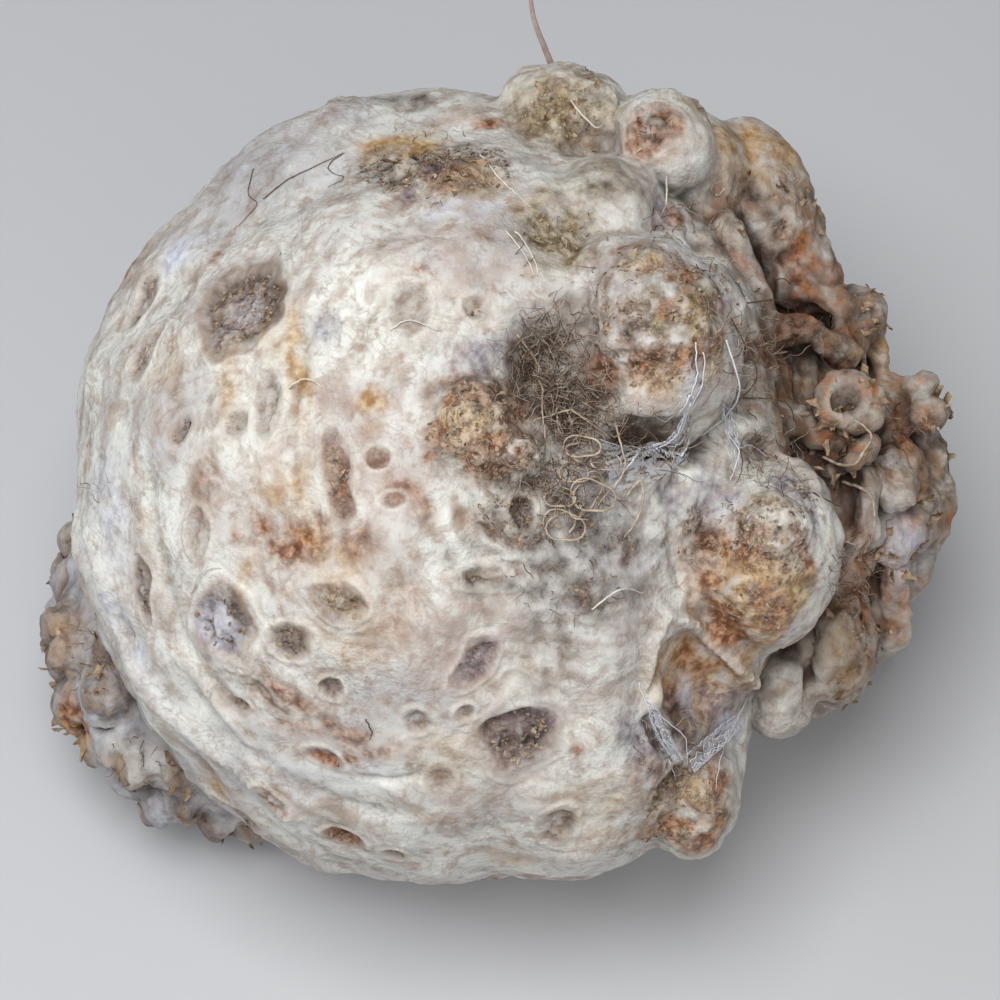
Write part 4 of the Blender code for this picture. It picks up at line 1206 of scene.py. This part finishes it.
def eye_masks(skin, eyes, breakup):
    """The scar, its tone, outline, bright rim and rings of every eye."""
    found = {name: np.zeros(len(skin.places)) for name in ("scar", "line", "rim", "tone", "rings")}
    draw = random.Random(SEED + 3)
    edge, width_of_edge = EYE_SCAR
    line_place, line_width = EYE_LINE
    rim_place, rim_width = EYE_BRIGHT
    for name, (*at, length, width, turn, _) in itertools.zip_longest(EYES, eyes):
        reach = skin.reach(*at, length, width, turn) * skin.wander
        inside = slope(edge - reach, width_of_edge)
        chance = (draw.uniform(0.35, 0.9), draw.random(), draw.uniform(0.3, 1))
        strength, darkness, outline = EYE_LOOKS.get(name, chance)
        found["scar"] = np.maximum(found["scar"], inside * strength)
        found["tone"] = np.where(inside > 0, darkness, found["tone"])
        line = np.exp(-(((reach - line_place) / line_width) ** 2)) * outline
        found["line"] = np.maximum(found["line"], line)
        found["rim"] = np.maximum(found["rim"], np.exp(-(((reach - rim_place) / rim_width) ** 2)))
        rings = ring_fade(reach, RING_COLOUR_END) * (0.5 - 0.5 * ring_wave(reach, length, width))
        found["rings"] = np.maximum(found["rings"], rings)
    found["rings"] = found["rings"] * np.clip(0.7 + 1.4 * breakup, 0, 1)
    return found


def masks(skin, eyes):
    """Numbers from 0 to 1 at each point that say what colours it."""
    places = skin.places
    ends = neighbours(skin.mesh)
    (size, amount), (fine_size, fine_amount) = BREAKUP
    breakup = amount * noise(places, size, SEED + 8) + fine_amount * noise(places, fine_size, SEED + 9)
    found = stain_masks(skin, breakup)
    found.update(eye_masks(skin, eyes, breakup))
    crumb = 0.6 * found["scar"]
    for patch in CRUSTS:
        crumb = np.maximum(crumb, skin.patch(*patch))
    found["crumb"] = np.clip(crumb * (1 + breakup), 0, 1)
    wood = np.clip(nearness(places, WOODY), 0, 1)
    size, _ = PEEL[0]
    grained = places * np.array(WOOD_GRAIN)
    found["bark"] = wood * np.clip(0.5 + noise(grained, size, SEED + 20) / (2 * PEEL_EDGE), 0, 1)
    found["arc"] = arcs(places)
    for name, table in (("tan", TANNED), ("grey", GREYED)):
        found[name] = np.clip(nearness(places, table) * (1 + 0.6 * breakup), 0, 1)
    # Painted shade: how far each point lies below its neighbours, over narrow and broad hollows.
    for name, (passes, scale) in HOLLOWS.items():
        found[name] = np.clip(hollowness(skin, ends, passes, scale), 0, 1)
    # Pale worn skin and painted highlight: how far each point stands proud of its neighbours.
    found["ridge"] = np.clip(-hollowness(skin, ends, *RIDGES), 0, 1)
    # Painted shade: where few rays get clear of the root nearby, the skin's colour is darkened.
    level, width = SHUT
    found["painted_crevice_shade"] = slope(level - openness(skin, ends), width)
    x, y, length, width, turn, _ = FACET
    peeled = np.clip(1.5 - skin.reach(*skin.on_face(x, y), length, width, turn), 0, 1)
    for name in ("painted_hollow_shade", "fold", "painted_crevice_shade"):
        found[name] *= 1 - PEELED_CLEAR * peeled
    gap, radius = pores(places)
    found["pore"] = np.exp(-((gap / (1.1 * radius)) ** 2))
    return found


def arcs(places):
    """Streaks that run round the root end, from 0 to 1."""
    across, up, out = (places - np.array(ROOT_END)).T
    width, length = ARC_SIZE
    turn = np.arctan2(-up, -across)
    spread = np.hypot(across, up)
    bent = np.stack((spread / width, ARC_RANGE * turn / length, out / length), 1)
    return np.clip(2 * noise(bent, 1, SEED + 12), 0, 1)


def store(mesh, found):
    """Keeps each mask on the mesh, for the material to read."""
    for name, values in found.items():
        layer = mesh.attributes.new(name, "FLOAT", "POINT")
        layer.data.foreach_set("value", values.astype(np.float32))


def spline(points, steps):
    """A smooth line through the points."""
    ends = [points[0], *points, points[-1]]
    line = []
    for a, b, c, d in zip(ends, ends[1:], ends[2:], ends[3:]):
        for i in range(steps):
            t = i / steps
            bend, twist = 2 * a - 5 * b + 4 * c - d, 3 * b - a - 3 * c + d
            line.append(0.5 * (2 * b + (c - a) * t + bend * t**2 + twist * t**3))
    return line + [points[-1]]


def add_tube(bm, line, radius, sides=5):
    """A tapering tube along a line of points, in millimetres."""
    rings = []
    for i, spot in enumerate(line):
        along = (line[min(i + 1, len(line) - 1)] - line[max(i - 1, 0)]).normalized()
        side = along.orthogonal().normalized() if not rings else (side - along * side.dot(along)).normalized()
        across = along.cross(side)
        size = radius * (1 - 0.6 * (i / (len(line) - 1)) ** 2)
        turn = [math.tau * k / sides for k in range(sides)]
        outs = [(side * math.cos(a) + across * math.sin(a)) * size for a in turn]
        rings.append([bm.verts.new((spot + out) * MM) for out in outs])
    for low, high in zip(rings, rings[1:]):
        for k in range(sides):
            bm.faces.new((low[k], low[k - 1], high[k - 1], high[k]))
    bm.faces.new(rings[0])
    bm.faces.new(rings[-1][::-1])


def add_thread(bm, skin, way, radius, points, rng):
    """A thread through points on the face: draped over the skin all along, or taut between them."""
    spots = []
    for x, y, lift in points:
        hit, normal = skin.on_face(x, y)
        spots.append(hit + normal * lift)
    line = spline(spots, 9)
    if way == "draped":
        for i, spot in enumerate(line):
            hit, normal = skin.on_face(spot.x, spot.y)
            line[i] = hit + normal * (radius + 0.15)
    wobble = Vector((0, 0, 0))
    for i in range(1, len(line) - 1):
        wobble = 0.8 * wobble + Vector(rng.gauss(0, 0.05) for _ in range(3))
        line[i] = line[i] + wobble
    add_tube(bm, line, radius)


def add_tangle(kinds, skin, x, y, radius, count, length, rng):
    """Short root hairs, dark or pale, that curl about on the skin near x, y."""
    for _ in range(count):
        bm = kinds[rng.random() < PALE_SHARE]
        angle, out = rng.uniform(0, math.tau), radius * math.sqrt(rng.random())
        hit, normal = skin.on_face(x + out * math.cos(angle), y + out * math.sin(angle))
        if hit is None:
            continue
        heading = (normal * 0.7 + Vector(rng.gauss(0, 1) for _ in range(3))).normalized()
        line = [hit - normal * 0.3]
        step = length * rng.uniform(0.5, 1.3) / 7
        for _ in range(7):
            line.append(line[-1] + heading * step)
            heading = (heading + 0.42 * Vector(rng.gauss(0, 1) for _ in range(3))).normalized()
            near, out_of, _, gap = skin.tree.find_nearest(line[-1])
            if (line[-1] - near).dot(out_of) < 0.15:
                line[-1] = near + out_of * 0.2
                heading = (heading + out_of).normalized()
            elif gap > 1.6:
                heading = (heading - 0.8 * out_of).normalized()
        add_tube(bm, line, rng.uniform(0.035, 0.075), 3)


def add_coil(bm, skin, x, y, lift, radius, turns, rng):
    """A rootlet curled into rings that stand off the skin."""
    hit, normal = skin.on_face(x, y)
    side = normal.orthogonal().normalized()
    across = normal.cross(side)
    start = rng.uniform(0, math.tau)
    line = []
    steps = round(22 * turns)
    for i in range(steps + 1):
        angle = start + math.tau * turns * i / steps
        size = radius * (1 + 0.22 * math.sin(2.3 * angle)) * (0.75 + 0.35 * i / steps)
        height = lift * (0.5 + 0.5 * math.sin(0.6 * angle + 1))
        line.append(hit + side * size * math.cos(angle) + across * size * math.sin(angle) + normal * height)
    add_tube(bm, line, COIL_TUBE)


def add_grid(bm, grid, torn=None):
    """Faces between the rows of a grid of points, except where it is torn."""
    for i, (low, high) in enumerate(zip(grid, grid[1:])):
        for k in range(len(low) - 1):
            if torn is None or not torn[i][k]:
                bm.faces.new((low[k], low[k + 1], high[k + 1], high[k]))


def add_flakes(bm, skin, crumb, rng):
    """Small curled flakes of crust, on the roughest skin."""
    rough = np.flatnonzero(crumb > 0.45).tolist()
    for _ in range(FLAKES):
        index = rng.choice(rough)
        spot, normal = Vector(skin.places[index]), Vector(skin.normals[index])
        side = normal.orthogonal().normalized()
        side = Matrix.Rotation(rng.uniform(0, math.tau), 3, normal) @ side
        across = normal.cross(side)
        size = rng.uniform(0.12, 0.42)
        curl = rng.uniform(0.0, 0.7)
        grid = []
        for u in (-1, 0, 1):
            row = []
            for v in (-1, 0, 1):
                lift = curl * u * u + 0.2 * rng.random() - 0.12
                reach = size * (1 - 0.35 * abs(v) * abs(u)) * rng.uniform(0.85, 1.15)
                place = spot + side * u * reach + across * v * 0.7 * reach + normal * lift * size
                row.append(bm.verts.new(place * MM))
            grid.append(row)
        add_grid(bm, grid)


def add_scales(bm, skin, share, count, least, most, rng):
    """Scales of bark with one edge in the skin, that curl up and narrow towards the other."""
    lean = math.radians(FACE_LEAN)
    height = skin.places[:, 1] * math.sin(lean) + skin.places[:, 2] * math.cos(lean) + FACE_HEIGHT
    places = np.flatnonzero((share > SCALE_SHARE) & (height > SCALE_FLOOR)).tolist()
    for _ in range(count):
        index = rng.choice(places)
        spot, normal = Vector(skin.places[index]), Vector(skin.normals[index])
        side = Matrix.Rotation(rng.uniform(0, math.tau), 3, normal) @ normal.orthogonal().normalized()
        across = normal.cross(side)
        size, curl = rng.uniform(least, most), rng.uniform(0.15, 0.7)
        grid = []
        for v in (0, 0.33, 0.67, 1):
            row = []
            for u in (-1, -0.33, 0.33, 1):
                wide = u * size * 0.5 * (1 - 0.55 * v) * rng.uniform(0.8, 1.2)
                far = v * size * (1.2 - 0.4 * u * u) * rng.uniform(0.85, 1.15)
                lift = size * (curl * v * v - 0.12 * u * u * (1 - v)) - 0.05 * size
                row.append(bm.verts.new((spot + side * wide + across * far + normal * lift) * MM))
            grid.append(row)
        add_grid(bm, grid)


def add_sheet(bm, strands, skin, rows, rng):
    """A sheet of membrane through rows of points, torn lengthwise, with strands along it."""
    lines = []
    for row in rows:
        spots = []
        for x, y, lift in row:
            hit, normal = skin.on_face(x, y)
            spots.append(hit + normal * lift)
        lines.append(spline(spots, 14))
    for _ in range(STRANDS):
        t = rng.uniform(0, len(lines) - 1)
        low, high = lines[int(t)], lines[min(int(t) + 1, len(lines) - 1)]
        mixed = [a.lerp(b, min(1, max(0, t % 1 + rng.gauss(0, 0.1)))) for a, b in zip(low, high)]
        add_tube(strands, mixed, rng.uniform(0.04, 0.09), 3)
    columns = [spline(list(column), 20) for column in zip(*lines)]
    grid = [[bm.verts.new(spot * MM) for spot in column] for column in columns]
    marks = itertools.product(range(len(grid)), range(len(grid[0])))
    cells_at = np.array([(i / 9, k / 3, rng.random() * 0.3) for i, k in marks])
    torn = (noise(cells_at, 1, rng.randrange(99)) > TEAR).reshape(len(grid), -1)
    add_grid(bm, grid, torn)
    bmesh.ops.delete(bm, geom=[v for v in bm.verts if not v.link_faces], context="VERTS")


def piece(name, bm, material):
    """A finished piece that moves with the root."""
    mesh = bpy.data.meshes.new(name)
    bm.to_mesh(mesh)
    bm.free()
    return finished(name, mesh, material)


def finished(name, mesh, material):
    """The object for a mesh in the face frame, that moves with the root."""
    mesh.transform(in_row_frame())
    mesh.materials.clear()
    mesh.materials.append(material)
    mesh.polygons.foreach_set("use_smooth", [True] * len(mesh.polygons))
    ob = linked(name, mesh)
    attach(ob, BODY)
    return ob


class Graph:
    """Short ways to add nodes to a material."""

    def __init__(self, name):
        self.material = bpy.data.materials.new(name)
        self.material.use_nodes = True
        self.tree = self.material.node_tree
        self.shader = self.tree.nodes["Principled BSDF"]
        place = self.tree.nodes.new("ShaderNodeTexCoord")
        self.place = place.outputs["Object"]

    def join(self, value, socket):
        """Links an output, or sets a constant."""
        if isinstance(value, bpy.types.NodeSocket):
            self.tree.links.new(value, socket)
        else:
            socket.default_value = value

    def noise(self, size, detail=4.0, distortion=0.0, seed=0.0):
        """Noise with features of about this size in millimetres."""
        node = self.tree.nodes.new("ShaderNodeTexNoise")
        node.noise_dimensions = "4D"
        node.inputs["W"].default_value = seed
        node.inputs["Scale"].default_value = 1 / (size * MM)
        node.inputs["Detail"].default_value = detail
        node.inputs["Roughness"].default_value = 0.6
        node.inputs["Distortion"].default_value = distortion
        self.tree.links.new(self.place, node.inputs["Vector"])
        return node.outputs["Fac"]

    def mask(self, name):
        """A mask kept on the mesh."""
        node = self.tree.nodes.new("ShaderNodeAttribute")
        node.attribute_name = name
        return node.outputs["Fac"]

    def sum(self, operation, a, b):
        """One operation on two values."""
        node = self.tree.nodes.new("ShaderNodeMath")
        node.operation = operation
        self.join(a, node.inputs[0])
        self.join(b, node.inputs[1])
        return node.outputs["Value"]

    def between(self, value, low, high, bottom=0.0, top=1.0):
        """The value spread out so that low becomes bottom and high becomes top, and kept between them."""
        node = self.tree.nodes.new("ShaderNodeMapRange")
        self.join(value, node.inputs["Value"])
        for key, number in (("From Min", low), ("From Max", high), ("To Min", bottom), ("To Max", top)):
            node.inputs[key].default_value = number
        return node.outputs["Result"]

    def mix(self, share, a, b):
        """Two colours mixed."""
        node = self.tree.nodes.new("ShaderNodeMix")
        node.data_type = "RGBA"
        self.join(share, node.inputs[0])
        self.join(a, node.inputs[6])
        self.join(b, node.inputs[7])
        return node.outputs[2]

    def bump(self, height, depth, strength=1.0):
        """A bump of this depth in millimetres, on the shader."""
        node = self.tree.nodes.new("ShaderNodeBump")
        node.inputs["Distance"].default_value = depth * MM
        self.join(strength, node.inputs["Strength"])
        self.join(height, node.inputs["Height"])
        self.tree.links.new(node.outputs["Normal"], self.shader.inputs["Normal"])


def colour(red, green, blue):
    """A linear colour from the 0 to 255 values that a screen shows."""
    shares = [v / 255 for v in (red, green, blue)]
    return (*[s / 12.92 if s < 0.0404 else ((s + 0.055) / 1.055) ** 2.4 for s in shares], 1)


def skin_material():
    """Cream skin with pink-brown, ochre, rust, olive and violet stains, brown scars, painted shade in
    crevices and hollows, and pale ridges with painted highlight.
    """
    g = Graph("Celeriac skin")
    broad, swirl, streak = g.noise(15), g.noise(6.5, 6, 2.2, 1), g.noise(2.6, 6, 1.6, 2)
    middle, fine, grit = g.noise(4.5, 6, 0.4, 3), g.noise(1.3, 5, 0, 4), g.noise(0.45, 3, 0, 5)
    skin = g.mix(g.between(broad, 0.44, 0.62), colour(236, 236, 228), colour(216, 211, 205))
    skin = g.mix(g.between(g.noise(19, 3, 0, 6), 0.52, 0.64, 0, 0.55), skin, colour(180, 178, 182))
    skin = g.mix(g.between(swirl, 0.51, 0.62, 0, 0.65), skin, colour(184, 168, 154))
    skin = g.mix(g.between(streak, 0.54, 0.68, 0, 0.5), skin, colour(156, 140, 128))
    skin = g.mix(g.between(fine, 0.57, 0.68, 0, 0.42), skin, colour(146, 126, 108))
    arc = g.sum("MULTIPLY", g.mask("arc"), g.between(swirl, 0.38, 0.56, 0.15, 0.75))
    skin = g.mix(arc, skin, g.mix(g.between(middle, 0.4, 0.6), colour(188, 168, 152), colour(148, 128, 112)))
    rusty = g.sum("MULTIPLY", g.between(g.noise(3.4, 5, 0.5, 7), 0.57, 0.67), g.between(fine, 0.42, 0.56))
    skin = g.mix(g.sum("MULTIPLY", rusty, 0.6), skin, colour(168, 126, 92))
    skin = g.mix(g.between(grit, 0.3, 0.42, 0.3, 0), skin, colour(246, 244, 238))
    for size, seed, strength in ((9, 8, 0.5), (5, 9, 0.4)):
        vein = g.sum("ABSOLUTE", g.sum("SUBTRACT", g.noise(size, 3, 1.2, seed), 0.5), 0)
        vein = g.sum("MULTIPLY", g.between(vein, 0, 0.018, strength, 0), g.between(middle, 0.42, 0.56))
        skin = g.mix(vein, skin, colour(158, 130, 112))
    skin = g.mix(g.sum("MULTIPLY", g.mask("rings"), 0.4), skin, colour(172, 148, 132))
    grey = g.mix(g.between(middle, 0.38, 0.62), colour(170, 172, 182), colour(98, 90, 94))
    skin = g.mix(g.sum("MULTIPLY", g.mask("grey"), 0.8), skin, grey)
    # Brown skin of the root mass; its darkness is partly its own colour and partly painted shade for that
    # side.
    brown = g.mix(g.between(middle, 0.38, 0.62), colour(148, 116, 86), colour(70, 50, 37))
    skin = g.mix(g.sum("MULTIPLY", g.mask("tan"), g.between(swirl, 0.35, 0.55, 0.5, 0.95)), skin, brown)
    bark = g.mix(g.between(fine, 0.38, 0.6), colour(148, 106, 70), colour(74, 52, 38))
    skin = g.mix(g.sum("MULTIPLY", g.mask("bark"), g.between(streak, 0.36, 0.54, 0.35, 0.9)), skin, bark)
    orange = g.sum("MULTIPLY", g.between(g.noise(5, 5, 0.8, 12), 0.54, 0.64), g.mask("tan"))
    skin = g.mix(g.sum("MULTIPLY", orange, 0.75), skin, colour(182, 106, 48))
    pale_scar = g.mix(g.between(fine, 0.4, 0.58), colour(204, 192, 176), colour(158, 132, 106))
    dark_scar = g.mix(g.between(streak, 0.42, 0.56), colour(150, 132, 122), colour(78, 58, 48))
    scar = g.mix(g.mask("tone"), pale_scar, dark_scar)
    scar = g.mix(g.between(middle, 0.5, 0.62, 0, 0.6), scar, colour(186, 178, 182))
    skin = g.mix(g.sum("MULTIPLY", g.mask("scar"), g.between(middle, 0.3, 0.5, 0.6, 0.95)), skin, scar)
    broken = g.between(fine, 0.34, 0.54, 0.5, 1)
    rosy = g.sum("MULTIPLY", g.mask("rose"), 0.7)
    skin = g.mix(g.sum("MULTIPLY", rosy, broken), skin, colour(184, 160, 150))
    for name, strength, bright, dark in (
        ("olive", 0.95, (164, 146, 96), (98, 82, 50)),
        ("ochre", 0.95, (208, 172, 114), (160, 114, 62)),
        ("rust", 1.0, (180, 114, 66), (98, 56, 34)),
        ("violet", 0.85, (152, 142, 158), (88, 78, 96)),
        ("milk", 0.9, (232, 234, 244), (188, 188, 206)),
    ):
        tint = g.mix(g.between(fine, 0.4, 0.6), colour(*bright), colour(*dark))
        share = g.sum("MULTIPLY", g.mask(name), strength)
        skin = g.mix(g.sum("MULTIPLY", share, broken), skin, tint)
    crust = g.mix(g.between(fine, 0.46, 0.6), skin, colour(98, 72, 52))
    crust = g.mix(g.between(grit, 0.54, 0.62, 0, 0.5), crust, colour(228, 218, 202))
    skin = g.mix(g.sum("MULTIPLY", g.mask("crumb"), 0.7), skin, crust)
    skin = g.mix(g.sum("MULTIPLY", g.mask("pore"), 0.45), skin, colour(146, 118, 96))
    # Dark patches: dirt, and painted shade where they lie in hollows and the stub's hole.
    dirt_and_shade = g.sum("MULTIPLY", g.mask("dirt_and_shade"), g.between(middle, 0.38, 0.58, 0.55, 0.95))
    skin = g.mix(dirt_and_shade, skin, g.mix(g.between(fine, 0.42, 0.6), colour(112, 92, 78), colour(50, 38, 34)))
    skin = g.mix(g.sum("MULTIPLY", g.mask("line"), 0.5), skin, colour(140, 104, 80))
    # Painted shade in narrow hollows.
    skin = g.mix(g.sum("MULTIPLY", g.mask("painted_hollow_shade"), 0.7), skin, colour(100, 72, 54))
    # Painted shade in broad hollows, stronger on the tanned skin.
    fold = g.sum("MULTIPLY", g.mask("fold"), g.between(g.mask("tan"), 0, 0.8, 0.25, 0.9))
    skin = g.mix(fold, skin, g.mix(g.between(middle, 0.4, 0.6), colour(104, 72, 48), colour(58, 40, 30)))
    # Painted shade: crevices that few rays get clear of are darkened.
    skin = g.mix(g.sum("MULTIPLY", g.mask("painted_crevice_shade"), 0.85), skin, colour(56, 40, 32))
    skin = g.mix(g.sum("MULTIPLY", g.mask("rim"), 0.25), skin, colour(238, 233, 222))
    # Pale worn skin and painted highlight on what stands proud, weaker on grey and tanned skin.
    worn_and_highlit = g.between(g.mask("grey"), 0, 1, 0.35, 0.08)
    worn_and_highlit = g.sum("MULTIPLY", worn_and_highlit, g.between(g.mask("tan"), 0, 1, 1, 0.35))
    skin = g.mix(g.sum("MULTIPLY", g.mask("ridge"), worn_and_highlit), skin, colour(236, 231, 220))
    g.join(skin, g.shader.inputs["Base Color"])
    g.shader.inputs["Roughness"].default_value = 0.58
    g.shader.inputs["Specular IOR Level"].default_value = 0.35
    height = g.sum("ADD", fine, g.sum("MULTIPLY", grit, 0.45))
    height = g.sum("ADD", height, g.sum("MULTIPLY", streak, 0.7))
    rough = g.sum("MAXIMUM", g.mask("crumb"), g.mask("bark"))
    smooth = g.between(g.noise(12, 3, 0, 11), 0.42, 0.58, 0.2, 0.65)
    g.bump(height, 0.8, g.sum("MAXIMUM", smooth, rough))
    return g.material


def plain_material(name, bright, dark, roughness, alpha=1.0):
    """A mottled colour for threads, hairs, flakes and membrane."""
    g = Graph(name)
    mottled = g.mix(g.between(g.noise(1.2), 0.35, 0.65), colour(*bright), colour(*dark))
    g.join(mottled, g.shader.inputs["Base Color"])
    g.shader.inputs["Roughness"].default_value = roughness
    g.shader.inputs["Alpha"].default_value = alpha
    return g.material


def add_light(name, place, aim, size, watts, tint):
    """A soft square lamp at a place, facing another, in millimetres in the face frame."""
    lamp = bpy.data.lights.new(name, "AREA")
    lamp.size = size * MM
    lamp.energy = watts
    lamp.color = tint
    ob = linked(name, lamp)
    start = in_row_frame() @ (Vector(place) * MM)
    end = in_row_frame() @ (Vector(aim) * MM)
    ob.location = start
    ob.rotation_euler = (end - start).to_track_quat("-Z", "Y").to_euler()


def set_up_view():
    """Camera, lamps, floor and background."""
    scene = bpy.context.scene
    data = bpy.data.cameras.new("Camera")
    data.lens = LENS
    data.clip_start = 0.01
    camera = linked("Camera", data)
    lift = Matrix.Translation(Vector((CAMERA_SHIFT[0], CAMERA_SHIFT[1], CAMERA_RANGE)) * MM)
    camera.matrix_world = in_row_frame() @ lift
    scene.camera = camera
    for name, lamp in LAMPS.items():
        add_light(name, *lamp)
    bpy.ops.mesh.primitive_plane_add(size=FLOOR_SIZE, location=(0, 0, 0))
    floor = bpy.context.object
    floor.name = "Floor"
    g = Graph("Pale floor")
    g.shader.inputs["Base Color"].default_value = colour(208, 208, 210)
    g.shader.inputs["Roughness"].default_value = 0.8
    floor.data.materials.append(g.material)
    world = bpy.data.worlds.new("World")
    world.use_nodes = True
    sky = world.node_tree.nodes["Background"]
    sky.inputs["Color"].default_value = (*SKY, 1)
    sky.inputs["Strength"].default_value = SKY_STRENGTH
    scene.world = world
    scene.view_settings.view_transform = "Standard"


def main():
    """Builds every piece and the view."""
    rng = random.Random(SEED)
    skin, eyes = sculpted(fused(clay(rng)), rng)
    refined(skin, eyes)
    whole = rested(skin.mesh)
    skin = Skin(whole)
    found = masks(skin, eyes)
    store(whole, found)
    material = skin_material()
    whole = thinned(whole)
    for name, (low, high) in PARTS.items():
        part = finished(name, parted(whole, low, high), material)
        keep_normals(part.data)
        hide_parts(NODE)

    draw = random.Random(SEED + 1)
    kinds = {
        "rootlets": (ROOTLETS, plain_material("Rootlet", (216, 202, 182), (158, 134, 110), 0.6)),
        "threads": (THREADS, plain_material("Thread", (240, 236, 226), (214, 204, 186), 0.5)),
        "hairs": (HAIRS, plain_material("Hair", (120, 92, 70), (56, 40, 34), 0.6)),
    }
    for name, (threads, material) in kinds.items():
        bm = bmesh.new()
        for way, radius, points in threads:
            add_thread(bm, skin, way, radius, points, draw)
        if name == "rootlets":
            for coil in COILS:
                add_coil(bm, skin, *coil, draw)
        piece(name, bm, material)
    dark, pale = bmesh.new(), bmesh.new()
    for tangle in TANGLES:
        add_tangle((dark, pale), skin, *tangle, draw)
    piece("dark_root_hairs", dark, plain_material("Dark root hair", (128, 100, 78), (60, 44, 38), 0.6))
    piece("pale_root_hairs", pale, plain_material("Pale root hair", (206, 192, 174), (150, 130, 112), 0.6))
    bm = bmesh.new()
    add_flakes(bm, skin, found["crumb"], draw)
    piece("flakes", bm, plain_material("Flake", (192, 172, 148), (88, 64, 48), 0.7))
    bm = bmesh.new()
    chips = random.Random(SEED + 5)
    for kind, count, least, most in SCALES:
        add_scales(bm, skin, found[kind], count, least, most, chips)
    piece("scales", bm, plain_material("Scale", (196, 168, 136), (92, 66, 48), 0.65))
    bm, strands = bmesh.new(), bmesh.new()
    for way, radius, points in WEBS:
        add_thread(strands, skin, way, radius, points, draw)
    for rows in SHEETS:
        add_sheet(bm, strands, skin, rows, draw)
    piece("membrane", bm, plain_material("Membrane", (240, 242, 248), (214, 216, 226), 0.35, 0.42))
    piece("webs", strands, plain_material("Web", (246, 246, 250), (220, 222, 230), 0.35))
    bm = bmesh.new()
    add_tube(bm, spline([Vector(p) for p in ROOT_STRING], 10), 0.5, 7)
    piece("root_string", bm, plain_material("Root string", (212, 190, 180), (176, 150, 142), 0.6))
    set_up_view()


main()
